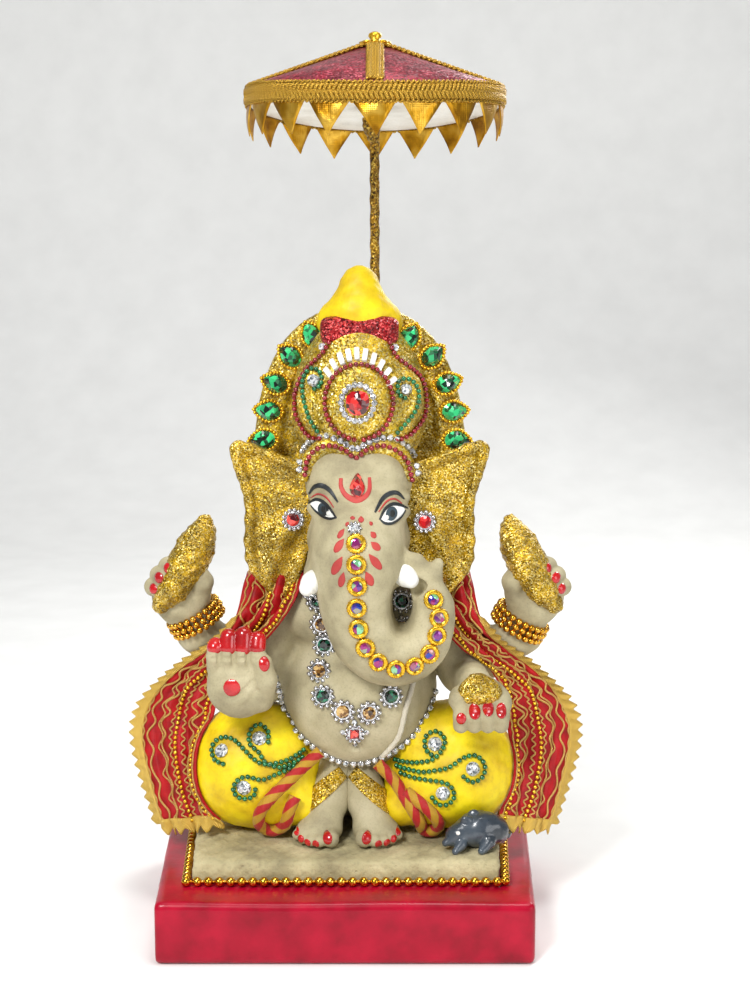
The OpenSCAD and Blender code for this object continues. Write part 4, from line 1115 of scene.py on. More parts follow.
@dataclass
class Figure:
    """The modelled clay body: trunk of the body, arms, hands, legs, feet and head."""

    body: Clay = field(default_factory=lambda: Clay(0.9, floor=38.0))
    thighs: list[Clay] = field(default_factory=list)
    head: Clay = field(default_factory=lambda: Clay(0.62))
    skins: dict[str, tuple[Array, Array]] = field(default_factory=dict)

    def keep(self, name: str, clay: Clay, finish: Finish, slot: str, *nodes: str, rough: float = 0.1) -> None:
        """Skins a clay piece, adds finger marks and fits it."""
        verts, faces = clay.skin()
        verts = grained(verts, rough, 11.0)
        self.skins[name] = (verts, faces)
        fit(solid(name, verts, faces, finish), "idol", slot, *nodes)

    def torso(self) -> None:
        """Models the belly, chest, shoulders and arms."""
        b = self.body
        b.oval((5, 14, 103), (37, 26, 38)).oval((6, 16, 145), (42, 18, 22), 9).oval((3, 20, 58), (36, 16, 20), 6)
        b.limb([(6, 13, 150, 19), (6, 12, 172, 15)], 8)
        b.oval((-13, 3, 141), (16, 11, 13), 7).oval((24, 3, 141), (16, 11, 13), 7)
        b.oval((5, -3, 98), (26, 12, 24), 14)
        b.limb([(-29, 12, 150, 12), (-39, 8, 108, 9.6), (-47, -15, 109, 7.4)], 5)
        b.limb([(41, 12, 150, 12), (54, 8, 112, 9.6), (58, -12, 112, 8)], 5)
        for side in (-1, 1):
            rear = [(38, 24, 136, 11), (60, 25, 116, 10.3), (76, 20, 128, 9.3), (79, 18, 136, 9.3)]
            b.limb([(6 + side * x, y, z, r) for x, y, z, r in rear], 5)
        b.limb(
            [
                (-33, -2, 131, 0.8), (-20, -9, 125, 1.4), (-4, -13, 122.5, 1.6), (16, -13, 122.5, 1.6),
                (34, -6, 128, 0.8)
            ],
            3.5, cut=True
        )
        b.oval((4, -15.5, 83), (1.8, 4, 2.2), 2, cut=True)
        self.keep("clay_body", b, CLAY, "clay", "torso", "right_arm", "left_arm")

    def legs(self) -> None:
        """Models the clothed thighs and the feet."""
        for side, name in ((-1, "right"), (1, "left")):
            thigh = Clay(0.9, floor=38.0).oval((side * 45 + 3, 8, 68), (31, 25, 30))
            thigh.limb([(3 + side * 52, 0, 63, 17), (3 + side * 22, -6, 52, 9)], 12)
            self.thighs.append(thigh)
            self.keep(f"{name}_thigh_cloth", thigh, YELLOW_PAINT, "yellow_paint", f"{name}_thigh", rough=0.25)
            foot = Clay(0.5, floor=38.0)

            def at(x: float, side: int = side) -> float:
                return x if side < 0 else 0.8 - x

            foot.limb([(at(-5), 4, 70, 8.2), (at(-8), -6, 56, 8.6), (at(-11), -13, 46, 7.6)], 5)
            foot.oval((at(-13), -14, 43), (10.5, 9, 6.2), 5)
            toes = [
                (-7.2, -24.5, 42.6, 3.9), (-12.2, -24.6, 41.6, 2.9), (-16.2, -23.4, 41.4, 2.7),
                (-19.8, -21.2, 41.6, 2.5), (-22.6, -18.0, 42.2, 2.3)
            ]
            for x, y, z, r in toes:
                foot.limb([(at(x * 0.75 - 3), -15, 43.5, r), (at(x), y, z, r)], 1.4)
            self.keep(f"{name}_foot_clay", foot, CLAY, "clay", f"{name}_foot", rough=0.05)
        on = Surface([self.skins["right_foot_clay"], self.skins["left_foot_clay"]])
        nails = [
            (-8.4, 43.8, 4.2, 5.2), (-13.8, 40.9, 3.2, 3.6), (-17.6, 41.0, 3.0, 3.4), (-20.6, 42.0, 2.8, 3.2),
            (-22.8, 44.2, 2.4, 3.2)
        ]
        spots = [blob((x if s < 0 else 0.8 - x, z), w, h) for s in (-1, 1) for x, z, w, h in nails]
        fit(solid("toenail_paint", *paint(spots, on, 0.22, 0.45), RED_PAINT), "idol", "clay")
        bands = [
            stroke([(-20, 53), (-11.5, 61), (-2.0, 68)], [6, 6.6, 6]),
            stroke([(2.8, 68), (12, 61), (20.8, 53)], [6, 6.6, 6])
        ]
        fit(solid("anklet_glitter_bands", *paint(bands, on, 0.7, 0.8), GOLD_GLITTER), "idol", "gold_glitter")

    def front_hands(self) -> None:
        """Models the raised palm and the hand that holds the sweet."""
        palm = Clay(0.5).oval((-47.6, -24.5, 113.5), (14.6, 7.2, 13.8)).oval((-47, -22, 121), (13.5, 6.5, 8), 5)
        palm.limb([(-47, -14, 109, 7.6), (-47.5, -21, 109, 8)], 5)
        fingers = [
            (-58.6, 122, 136.6, 3.4), (-52.6, 122, 140.6, 3.7), (-46.0, 122, 141.6, 3.8), (-39.8, 122, 139.4, 3.6)
        ]
        for x, z0, z1, r in fingers:
            palm.limb([(x, -25.5, z0, r), (x + 0.4, -28.2, z0 + 6.5, r + 0.2), (x + 0.8, -26.5, z1 - r, r)], 0.9)
            for z in (z0 + 1.6, z0 + 6.6):
                palm.limb([(x - 3.0, -32.2, z, 0.9), (x + 3.0, -32.2, z - 0.3, 0.9)], 0.9, cut=True)
        palm.limb([(-38, -24, 108, 5.8), (-35.4, -29, 118, 4.7), (-36.2, -30.5, 126, 3.9)], 2.2)
        for x in (-55.8, -49.4, -43.0):
            palm.limb([(x, -31.0, 123, 1.1), (x, -31.6, 133, 1.4)], 0.6, cut=True)
        for line in (
            [(-59, -31.2, 112, 0.6), (-52, -32.4, 109.5, 0.8), (-46, -32.2, 112.5, 0.8), (-41, -31.6, 118, 0.6)],
            [(-58, -30.6, 118, 0.6), (-51, -32.0, 119.5, 0.7), (-44, -31.8, 120, 0.6)],
            [(-50, -32.0, 103.5, 0.6), (-43, -32.4, 108, 0.8), (-39.5, -32.0, 114, 0.6)],
        ):
            palm.limb([(*q[:3], q[3] + 0.6) for q in line], 0.7, cut=True)
        self.keep("blessing_hand_clay", palm, CLAY, "clay", "blessing_hand", rough=0.06)
        tips = Clay(0.5)
        for x, z0, z1, r in fingers:
            tips.limb([(x + 0.6, -27.9, z0 + 10.6, r + 0.22), (x + 0.8, -26.6, z1 - r, r + 0.24)], 0.5)
        verts, faces = tips.skin()
        fit(solid("fingertip_enamel", verts, faces, RED_PAINT), "idol", "clay")
        on = Surface([self.skins["blessing_hand_clay"]])
        spots = [blob((-50.4, 115), 7.6, 7.6, 8), blob((-35.8, 126.4), 4.6, 6.4, 8)]
        fit(solid("palm_dot_enamel", *paint(spots, on, 0.2, 0.5), RED_PAINT), "idol", "clay")

        hold = Clay(0.5).oval((61.5, -20.5, 105), (13.2, 10, 10.5)).limb([(58, -10, 111, 8), (60, -16, 108, 9)], 5)
        for i, x in enumerate((51.8, 57.8, 63.8, 69.6)):
            hold.limb([(x, -25, 106 - 0.6 * i, 3.9), (x - 0.4, -30.5, 101.5, 3.6), (x - 0.5, -28.5, 97, 3.5)], 0.9)
        hold.limb([(51, -20, 108, 4.6), (49.5, -26, 108, 3.8)], 2)
        self.keep("offering_hand_clay", hold, CLAY, "clay", "offering_hand", rough=0.06)
        on = Surface([self.skins["offering_hand_clay"]])
        spots = [
            blob((51.2, 101.6), 4.2, 5.0), blob((57.2, 104.4), 5.0, 6.0), blob((63.2, 105.6), 4.9, 5.8),
            blob((69.0, 104.6), 4.4, 5.6)
        ]
        fit(solid("offering_nail_enamel", *paint(spots, on, 0.25, 0.5), RED_PAINT), "idol", "clay")
        sweet = Clay(0.6).oval((60, -24.5, 111), (10, 7.2, 7)).oval((59, -24, 115.5), (5, 4.5, 4), 3)
        verts, faces = sweet.skin()
        fit(solid("glitter_sweet", grained(verts, 0.35, 6), faces, GOLD_GLITTER), "idol", "gold_glitter", "modak")

    def rear_hands(self) -> None:
        """Models the raised fists and the glittered shells they hold."""
        nails = []
        for side, name in ((-1, "right"), (1, "left")):

            def at(points: Outline, side: int = side) -> list:
                return [(p[0] if side < 0 else across(p[0]), *p[1:]) for p in points]

            fist = Clay(0.5).oval(at([(-79, 16, 147)])[0], (12.4, 10.5, 12.2))
            fist.limb(at([(-71, 19, 131, 9.2), (-76, 17, 141, 9.8)]), 6)
            knuckles = [
                (-88.6, 7.5, 151.5, 4.1), (-86.0, 6.5, 157, 4.0), (-82.0, 6.5, 161.3, 3.9), (-77.4, 8.0, 165, 3.7)
            ]
            for x, y, z, r in knuckles:
                fist.limb(
                    at([(x + 3.5, 20, z + 0.5, r + 0.6), (x - 1.2, 12, z + 0.2, r + 0.2), (x + 1.4, y, z, r)]), 0.9
                )
            fist.limb(at([(-69, 14, 146, 5.4), (-66.4, 8, 155, 4.5), (-69, 7.5, 161, 3.9)]), 2)
            fist.limb(at([(-86, 6.2, 143, 0.7), (-80, 4.4, 146, 0.8), (-74, 5, 144, 0.7)]), 1.0, cut=True)
            self.keep(f"{name}_rear_hand_clay", fist, CLAY, "clay", f"{name}_rear_arm", rough=0.08)
            shell = Clay(0.7).limb(
                at(
                    [
                        (-86, 6.5, 144.5, 4.2), (-80, 6, 152, 6.0), (-74, 8.5, 162, 8.2), (-69.6, 12, 171, 7.8),
                        (-66.6, 14, 178, 4.6), (-65.4, 15, 183, 2.2)
                    ]
                ),
                5
            )
            verts, faces = shell.skin()
            fit(
                solid(f"{name}_shell_glitter", grained(verts, 0.5, 7), faces, GOLD_GLITTER), "idol", "gold_glitter",
                f"{name}_conch"
            )
            spots = [
                (-89.0, 152.2, 3.6, 4.6), (-86.2, 157.6, 4.2, 4.8), (-81.8, 162.0, 4.2, 4.8),
                (-76.8, 165.4, 3.8, 4.4), (-68.6, 162.2, 4.8, 5.4)
            ]
            on = Surface([self.skins[f"{name}_rear_hand_clay"]])
            shapes = [blob((x if side < 0 else across(x), z), w, h) for x, z, w, h in spots]
            nails.append(paint(shapes, on, 0.3, 0.5))
        verts, faces, _ = gather(nails)
        fit(solid("rear_nail_enamel", verts, faces, RED_PAINT), "idol", "clay")

    def face(self) -> None:
        """Models the head with its trunk, then paints eyes, brows and marks."""
        h = self.head
        h.oval((5.6, 8, 193), (23.6, 24, 31)).oval((-5, -3, 206), (13, 11, 12), 9).oval((16, -3, 206), (13, 11, 12), 9)
        h.oval((5.5, 2, 176), (23.5, 18, 15), 8)
        h.oval((-10, -10.5, 192.6), (7.6, 4.6, 4.6), 4).oval((21.4, -10.5, 191.0), (7.6, 4.6, 4.6), 4)
        h.limb([(-16, -10, 200, 1.6), (-10, -12.5, 202.5, 2.2), (-3, -13, 198, 1.8)], 4)
        h.limb([(27, -10, 197.5, 1.6), (20.5, -12.5, 200, 2.2), (14, -13, 195.5, 1.8)], 4)
        trunk = [
            (5.4, -6, 190, 13.5), (
                5.2, -12, 180, 17.0
            ), (5.4, -16, 170, 18.0), (5.8, -18, 158, 16.4), (6.6, -19, 146, 14.6),
            (9.6, -20, 135, 13.0), (15.4, -20.5, 129, 11.6), (22.5, -20.5, 126.6, 10.4), (30.0, -20.5, 128.2, 9.2),
            (35.6, -20, 133.8, 8.5), (38.0, -19.5, 142, 7.8), (38.2, -19, 150, 7.3), (36.4, -18.5, 156, 6.9),
        ]
        h.limb(trunk, 9)
        h.oval((25.0, -28, 150.5), (5.6, 24, 12.5), 3, cut=True)
        h.limb(
            [(36.4, -18.5, 156, 6.6), (35.0, -18, 162.5, 5.6), (31.0, -17.5, 168.2, 4.2), (26.4, -16.5, 170.6, 3.4)],
            3
        )
        h.limb([(39.6, -17.5, 163.6, 3.4), (41.2, -17, 168.4, 2.4)], 3)
        h.oval((32.0, -23, 158.5), (4.6, 3.4, 4.0), 2, cut=True)
        for side in (-1, 1):
            h.limb([(5.5 + side * 16, -6, 166, 7.2), (5.5 + side * 19, -12, 163, 5.6)], 5)
        for z, x0, x1 in ((139.5, -2, 10), (133.5, 1, 12), (148, -4, 14)):
            h.limb([(x0, -37.0, z + 1.5, 0.5), ((x0 + x1) / 2, -36.8, z, 0.6), (x1, -36.5, z - 2, 0.5)], 1.5, cut=True)
        self.keep("clay_head", h, CLAY, "clay", "head", "trunk", rough=0.12)
        tusks = Clay(0.5)
        tusks.limb([(-11, -15, 163, 4.8), (-15, -21, 160.5, 4.3), (-17.2, -25, 158.6, 3.4)], 3)
        tusks.limb([(22.5, -15, 165.5, 4.8), (26.4, -21, 163.6, 4.4), (28.8, -25, 162.4, 3.6)], 3)
        verts, faces = tusks.skin()
        fit(solid("tusks_painted", verts, faces, WHITE_PAINT), "idol", "white_paint", "tusks")
        on = Surface([self.skins["clay_head"]])
        self._marks(on)

    def _marks(self, on: Surface) -> None:
        """Paints the eyes, brows, forehead mark and leaf strokes."""
        right = [
            (-15.8, 194.6), (-13.4, 196.4), (-10.4, 195.8), (-7.3, 193.7), (-4.5, 190.6), (-7.3, 189.8),
            (-10.9, 190.4), (-13.9, 192.2)
        ]
        left = [
            (15.4, 189.5), (17.6, 193.2), (20.6, 194.8), (23.7, 194.2), (26.4, 192.2), (24.2, 189.2), (21.1, 187.8),
            (17.6, 188.0)
        ]
        eyes = [bend(right, 4, True), bend(left, 4, True)]
        fit(solid("eye_whites", *paint(eyes, on, 0.1, 0.4), WHITE_PAINT), "idol", "clay")
        irises = [blob((-9.9, 192.9), 5.0, 5.4), blob((20.3, 191.2), 5.2, 5.6)]
        fit(solid("eye_irises", *paint(irises, on, 0.2, 0.4), IRIS_PAINT), "idol", "clay")
        lids = [
            stroke(
                [(-17.0, 194.4), (-13.4, 196.6), (-10.2, 196.0), (-7.2, 193.9), (-3.9, 190.2)],
                [0.3, 1.3, 1.5, 1.2, 0.7]
            ),
            stroke(
                [(-15.6, 194.0), (-13.4, 191.8), (-10.4, 190.1), (-7.2, 189.6), (-4.2, 190.4)],
                [0.4, 0.9, 1.1, 0.9, 0.5]
            ),
            stroke(
                [(15.0, 189.6), (17.4, 193.4), (20.6, 195.0), (23.8, 194.4), (27.6, 192.6)], [0.7, 1.3, 1.6, 1.3, 0.3]
            ),
            stroke(
                [(15.4, 189.4), (17.6, 187.8), (21.0, 187.4), (24.4, 188.9), (26.6, 192.0)], [0.5, 0.9, 1.1, 0.9, 0.4]
            ),
            stroke(
                [(-16.4, 199.0), (-14.0, 202.3), (-10.8, 203.3), (-7.3, 201.4), (-3.4, 196.4)],
                [0.6, 1.5, 2.1, 1.9, 0.7]
            ),
            stroke(
                [(12.9, 192.6), (16.4, 197.8), (20.1, 200.0), (23.1, 199.8), (26.0, 196.8)], [0.7, 1.9, 2.1, 1.5, 0.6]
            ),
            blob((-9.7, 192.9), 2.4, 2.7), blob((20.5, 191.2), 2.4, 2.7),
        ]
        fit(solid("brows_and_lids", *paint(lids, on, 0.3, 0.4), BLACK_PAINT), "idol", "clay")
        glints = [blob((-7.4, 191.6), 2.0, 1.7, 20), blob((18.0, 189.9), 2.0, 1.8, -20)]
        fit(solid("eye_glints", *paint(glints, on, 0.42, 0.4), WHITE_PAINT), "idol", "clay")
        red = [
            stroke([(-15.6, 197.2), (-12.4, 199.2), (-8.8, 198.1), (-5.2, 194.2)], [0.4, 0.9, 0.9, 0.4]),
            stroke([(14.6, 192.6), (18.1, 196.4), (21.6, 197.3), (25.0, 194.8)], [0.4, 0.9, 0.9, 0.4]),
            stroke(
                [(-2.1, 206.6), (-2.0, 202.8), (0.2, 199.4), (4.4, 197.7), (8.4, 198.8), (10.5, 201.8), (10.5, 207.0)],
                [1.6, 1.9, 2.2, 2.6, 2.2, 1.9, 1.4]
            ),
        ]
        leaves = [
            ((3.2, 190.8), 2.2, 1.5, 0), ((6.9, 190.2), 2.6, 2.6, 0), (
                (0.9, 188.3), 1.6, 2.2, -30
            ), ((11.2, 188.5), 1.5, 2.0, 40),
            (
                (-1.8, 184.4), 2.2, 5.0, -35
            ), ((-2.6, 179.4), 3.2, 7.4, -35), ((-3.4, 170.8), 3.8, 9.4, -28), ((-1.4, 164.8), 3.0, 7.0, -14),
            (
                (12.2, 183.9), 2.4, 3.4, 40
            ), ((13.2, 179.2), 3.0, 5.4, 48), ((13.0, 172.6), 3.4, 9.0, 38), ((10.4, 165.4), 3.6, 7.0, 24),
        ]
        red += [blob(c, w, h, t, 0.75) for c, w, h, t in leaves]
        fit(solid("forehead_and_trunk_strokes", *paint(red, on, 0.16, 0.5), RED_STROKE), "idol", "clay")

    def mouse(self) -> None:
        """Models the little mouse beside the foot."""
        m = Clay(0.5, floor=38.0).oval((60.5, -21, 46), (10.5, 8, 8.6)).oval((51, -25.5, 45), (6, 4.6, 5), 4)
        m.limb([(50, -26, 44, 4.0), (45, -28, 42, 1.8)], 2).limb([(68, -20, 45, 6), (69, -18, 43, 5)], 4)
        m.oval((54.4, -25.5, 51), (2.8, 1.6, 3.0), 1).oval((57.8, -22, 52.6), (2.8, 1.6, 3.0), 1)
        m.limb(
            [(52, -30, 42, 2.4), (49, -32.5, 39.4, 1.6)], 1.5
        ).limb([(64, -28, 42, 3.4), (61, -31.5, 39.4, 1.8)], 1.5)
        m.limb([(74, -15, 41, 1.4), (77, -2, 39.8, 1.2)], 2)
        self.keep("mouse_painted", m, SLATE_PAINT, "slate_paint", "mouse", rough=0.2)
        on = Surface([self.skins["mouse_painted"]])
        fit(
            solid("mouse_eye", *paint([blob((50.4, 47.2), 1.8, 1.6)], on, 0.2, 0.4), WHITE_PAINT), "idol",
            "slate_paint"
        )

    def build(self) -> None:
        """Builds the figure."""
        self.torso()
        self.legs()
        self.front_hands()
        self.rear_hands()
        self.face()
        self.mouse()


# ---------------------------------------------------------------- crown
EAR = [
    (14, 12), (22, 17.5), (33, 22), (54.5, 29.5), (54.5, 20), (50, 4), (50, -22), (42, -34), (36, -39), (31, -34),
    (26, -22), (14, -14)
]


@dataclass
class Crown:
    """The glittered ears, halo, crown, band and peak, and the stones and beads on them."""

    middle: tuple[float, float, float] = (6, 13, 237)
    skins: dict[str, tuple[Array, Array]] = field(default_factory=dict)

    def keep(self, name: str, clay: Clay, finish: Finish, slot: str, *nodes: str, rough: float = 0.15) -> None:
        """Skins a piece, roughens it slightly and fits it."""
        verts, faces = clay.skin()
        verts = grained(verts, rough, 9.0)
        self.skins[name] = (verts, faces)
        fit(solid(name, verts, faces, finish), "idol", slot, *nodes)

    def shells(self) -> None:
        """Models the ears, halo, crown, band and peak."""
        for side, name in ((-1, "right"), (1, "left")):
            outline = [(6 + side * x, 190 + z) for x, z in EAR]
            lip = [(6 + side * x, -1.6, 190 + z, 1.9) for x, z in bend(EAR[1:11], 3)]
            ear = Clay(0.8).plate(bend(outline, 4, True), 2.4, -1.2, 1.4).limb(lip, 2.5)
            ear.limb(
                [(6 + side * 24, -1, 188, 2.6), (6 + side * 36, -1.6, 178, 2.4), (6 + side * 41, -1.6, 162, 1.4)], 7
            )
            self.keep(f"{name}_ear_glitter", ear, GOLD_GLITTER, "gold_glitter", f"{name}_ear")
        half = [(0, 46), (16, 42), (27, 36), (37, 25), (44.5, 8), (48, -10), (48, -26), (30, -32), (0, -32)]
        outline = [(6 + x, 237 + z) for x, z in half] + [(6 - x, 237 + z) for x, z in half[-2:0:-1]]
        halo = Clay(0.9).plate(bend(outline, 3, True), 24, 17.4, 2.6)
        rim = [
            (q[0], 17.6, q[1], 2.0) for q in bend(
                [(6 - 39, 208), (6 - 38, 226), (6 - 34, 245), (6 - 25, 262), (6 - 16, 271)], 4
            )
        ]
        halo.limb(rim, 3).limb([(12 - q[0], *q[1:]) for q in rim], 3)
        self.keep("halo_glitter", halo, CROWN_GOLD, "gold_glitter", "halo")
        x, y, z = self.middle
        dome = Clay(0.7).oval((x, y, z), (31, 24, 38)).oval((x, 12, z + 22), (19, 14, 18), 8)
        dome.oval((5.6, -9.4, 239.6), (13.6, 4.4, 16.4), 3)
        dome.limb(
            [
                (x_, -7.0, z_, 2.6) for x_,
                z_ in bend(
                    [
                        (-19, 206), (-15.6, 215), (-9.3, 219.6), (-3, 219.2), (4.6, 215.4), (12, 219), (18.5, 219.2),
                        (25.5, 215), (29.4, 206)
                    ],
                    3
                )
            ],
            3
        )
        for side in (-1, 1):
            curl = [(6 + side * 19.5, 226), (6 + side * 24, 236), (6 + side * 24.5, 246), (6 + side * 20, 251)]
            dome.limb([(cx, -1.5, cz, 2.6) for cx, cz in bend(curl, 3)], 3)
        dome.oval((x, 38, z), (60, 21, 60), 1, cut=True)
        dome.limb([(x - 60, 0, 297, 26), (x + 60, 0, 297, 26)], 1, cut=True)
        self.keep("crown_glitter", dome, CROWN_GOLD, "gold_glitter", "crown")
        band = Clay(0.7).plate(
            bend(
                [
                    (-9.0, 264), (-11.6, 270), (-9.6, 276.4), (6, 277.6), (21.6, 276.4), (23.6, 270), (21.0, 264),
                    (6, 262.6)
                ],
                4, True
            ),
            16.8, -1.5, 5.0
        )
        self.keep("band_glitter", band, RED_GLITTER, "red_glitter", "crown_band")
        peak = Clay(0.7).limb([(6, 12, 279, 12.6), (6, 13, 284, 10.0), (6, 14, 290.4, 6.6), (6, 14, 292.2, 6.4)], 6)
        peak.limb([(-9, 13, 272.5, 3.6), (21, 13, 272.5, 3.6)], 8).oval((6, 12, 277), (17, 9, 8), 8)
        peak.limb([(13, 42, 262, 18), (13, 42, 310, 18)], 1, cut=True)
        self.keep("peak_painted", peak, YELLOW_PAINT, "yellow_paint", "crown_peak", rough=0.18)

    def beadwork(self) -> None:
        """Glues the bead lines, stones and flowers on the crown."""
        on = Surface([self.skins["crown_glitter"], self.skins["band_glitter"], self.skins["halo_glitter"]])
        r = 1.1
        left = [
            (-7.2, 265.4), (-10.3, 260.5), (-15.7, 255.1), (-20.2, 248.8), (-22.4, 241.6), (-22.5, 234.4),
            (-20.3, 229.0), (-16.7, 224.6), (-11.6, 222.6)
        ]
        right = [
            (19.3, 265.4), (22.0, 259.6), (28.2, 254.2), (33.6, 248.8), (35.6, 240.7), (35.0, 232.6), (31.9, 228.1),
            (27.5, 224.5), (22.2, 222.4)
        ]
        outline = beads("crown_outline_beads_red", [on.run(p, r * 0.8, 8) for p in (left, right)], 2.4, 2.5, RED_BEAD)
        fit(outline, "idol", "red_bead", "crown_outline_beads")
        a = np.radians(np.linspace(-82, 262, 50))
        oval = np.stack([5.9 + 14.6 * np.cos(a), 239.8 + 16.2 * np.sin(a)], 1)
        ring = beads("crown_oval_beads_red", [on.run(oval, r * 0.8, 2)], 2.4, 2.5, RED_BEAD)
        fit(ring, "idol", "red_bead", "crown_oval_beads")
        curls = [
            [
                (-12.9, 226.6), (-16.4, 232.4), (-18.6, 239.4), (-19.3, 245.4), (-18.2, 251.0), (-14.6, 253.9),
                (-10.9, 251.6), (-10.8, 247.2), (-13.6, 245.2)
            ],
            [
                (22.8, 226.0), (27.4, 230.7), (31.0, 236.0), (32.3, 242.0), (30.9, 247.4), (26.6, 250.1),
                (23.0, 248.1), (23.2, 243.4), (26.0, 241.3)
            ],
        ]
        fit(
            beads("crown_curl_beads_green", [on.run(c, r * 0.8, 8) for c in curls], 2.3, 2.4, GREEN_BEAD), "idol",
            "green_bead", "crown_green_beads"
        )
        stones = [
            (-20.4, 209.6), (-19.1, 217.0), (-15.5, 221.9), (-9.3, 223.9), (-2.1, 222.1), (4.4, 218.5), (10.7, 222.1),
            (17.5, 223.5), (24.6, 221.2), (29.6, 215.8), (31.6, 207.9)
        ]
        drops = [
            (-18.2, 207.7), (-16.8, 214.4), (-12.5, 219.0), (-6.6, 220.5), (-0.4, 218.3), (4.4, 215.2), (8.9, 218.3),
            (15.7, 220.3), (22.4, 218.4), (27.1, 213.7), (29.6, 205.5)
        ]
        red = beads("hairline_beads_red", [on.run(drops, 1.0, 6)], 2.6, 2.7, RED_BEAD)
        fit(red, "idol", "red_bead", "hairline_beads")
        self.stones(on, "hairline_rhinestones", evenly(bend(stones, 8), 3.0), 3.0, "hairline_stones")
        b = np.radians(np.arange(0, 360, 20.0))
        self.stones(
            on, "gem_ring_rhinestones", np.stack([5.3 + 7.2 * np.cos(b), 239.9 + 8.0 * np.sin(b)], 1), 2.7,
            "crown_gem_ring"
        )
        seat, out = on.front(5.3, 239.9)
        gem = moved(
            domed(
                bend(
                    [(0, -5.6), (3.6, -4.2), (5.2, 0), (4.2, 4.2), (0, 5.4), (-4.2, 4.2), (-5.2, 0), (-3.6, -4.2)], 3,
                    True
                ),
                3.4, 0.35
            ),
            seat, out, (1, 0, 0)
        )
        fit(solid("crown_gem_red", gem[0], gem[1], RED_STONE, smooth=False), "idol", "red_stone", "crown_gem")
        fan = [
            (-7.6, 252.6), (-5.2, 256.2), (-2.0, 258.8), (1.4, 260.4), (5.0, 261.0), (8.6, 260.4), (12.2, 258.6),
            (15.4, 255.8), (18.0, 252.4), (20.2, 248.8)
        ]
        spots = []
        for x, z in fan:
            p, n = on.front(x, z)
            spots.append(Spot(p + n * 0.1, n, np.array([x - 5.9, 0, z - 239.8])))
        baguette = domed(
            bend(
                [
                    (-3.1, -0.8), (-2.6, -1.25), (2.6, -1.25), (3.1, -0.8), (3.1, 0.8), (2.6, 1.25), (-2.6, 1.25),
                    (-3.1, 0.8)
                ],
                1, True
            ),
            1.3, 0.8
        )
        fit(set_pieces("fan_stones_white", baguette, spots, WHITE_BEAD), "idol", "white_enamel", "crown_fan_stones")
        self.flowers(
            on, "crown_flower", [(-14.6, 249.2), (27.0, 245.2), (-10.4, 263.6), (21.8, 263.2)], [5.6, 5.4, 3.6, 3.6]
        )

    def stones(self, on: Surface, name: str, places: Outline, size: float, node: str) -> None:
        """Sets a row of cut clear stones, each in a small claw cup."""
        spots = []
        for x, z in places:
            p, n = on.front(x, z)
            spots.append(Spot(p + n * 0.5, n))
        fit(set_pieces(name, brilliant(size * 0.86, size * 0.55), spots, CLEAR_STONE), "idol", "clear_stone", node)
        cup = lathe([(0, -0.8), (size * 0.46, -0.8), (size * 0.52, 0.35), (size * 0.44, 0.4), (0, 0.1)], 10)
        fit(set_pieces(name + "_cups", cup, spots, SILVER, True), "idol", "silver_claw")

    def flowers(self, on: Surface, name: str, places: Outline, sizes: Sequence[float]) -> None:
        """Sets round clear stones with a facetted edge."""
        spots = []
        for (x, z), size in zip(places, sizes):
            p, n = on.front(x, z)
            spots.append(Spot(p + n * 0.2, n, size=size))
        fit(set_pieces(name + "_stones", brilliant(1, 0.42, 12), spots, CLEAR_STONE), "idol", "clear_stone")

    def leaves(self) -> None:
        """Sets the green leaf stones in their beaded frames round the halo."""
        on = Surface([self.skins["halo_glitter"], self.skins["crown_glitter"]])
        right = [
            (-15.6, 268.2, 118), (-25.8, 258.6, 138), (-32.6, 246.2, 160), (-36.0, 233.4, 174), (-38.0, 221.0, 186)
        ]
        left = [(28.8, 267.4, 62), (39.4, 258.6, 42), (46.4, 246.2, 20), (49.4, 233.2, 6), (50.4, 220.8, -6)]
        ring = leaf_ring(14.6)
        gems, frames, strings = [], [], []
        for x, z, turn in right + left:
            t = math.radians(turn)
            seat = np.array([x, min(on.front(x, z)[0][1], 17.2) - (9.0 if z < 225 else 0.8), z])
            way = (math.cos(t), 0, math.sin(t))
            frames.append(moved(domed(ring, 1.7, 0.84), seat, (0, -1, 0), way))
            gems.append(moved(domed(ring * 0.78, 3.0, 0.55), seat + (0, -1.4, 0), (0, -1, 0), way))
            strings.append(moved((np.c_[ring * 0.93, np.full(len(ring), 1.9)],), seat, (0, -1, 0), way)[0])
        fit(solid("leaf_frames_gilt", *gather(frames)[:2], SETTING_GOLD), "idol", "gilt", "leaf_frames")
        fit(solid("leaf_gems_green", *gather(gems)[:2], GREEN_STONE, smooth=False), "idol", "green_stone", "leaf_gems")
        strings = [np.concatenate([s, s[:1]]) for s in strings]
        fit(beads("leaf_frame_beading", strings, 1.7, 1.6, SETTING_GOLD), "idol", "gilt")

    def build(self) -> None:
        """Builds the crown and everything on it."""
        self.shells()
        self.beadwork()
        self.leaves()


# ------------------------------------------------------------ ornaments
def claw_flower(diameter: float, petals: int = 11) -> tuple[Array, list]:
    """Returns a silver cup ringed by little round claws."""
    parts = [lathe([(0, 0), (diameter * 0.36, 0), (diameter * 0.38, 0.9), (diameter * 0.3, 1.0), (0, 0.7)], 16)]
    ball = lathe([(0, -0.16), (0.11, -0.08), (0.11, 0.08), (0, 0.16)], 6)
    for k in range(petals):
        a = 2 * math.pi * k / petals
        spot = (diameter * 0.42 * math.cos(a), diameter * 0.42 * math.sin(a), 0.7)
        parts.append(moved(ball, spot, (0, 0, 1), scale=diameter * 0.85))
    verts, faces, _ = gather(parts)
    return verts, faces


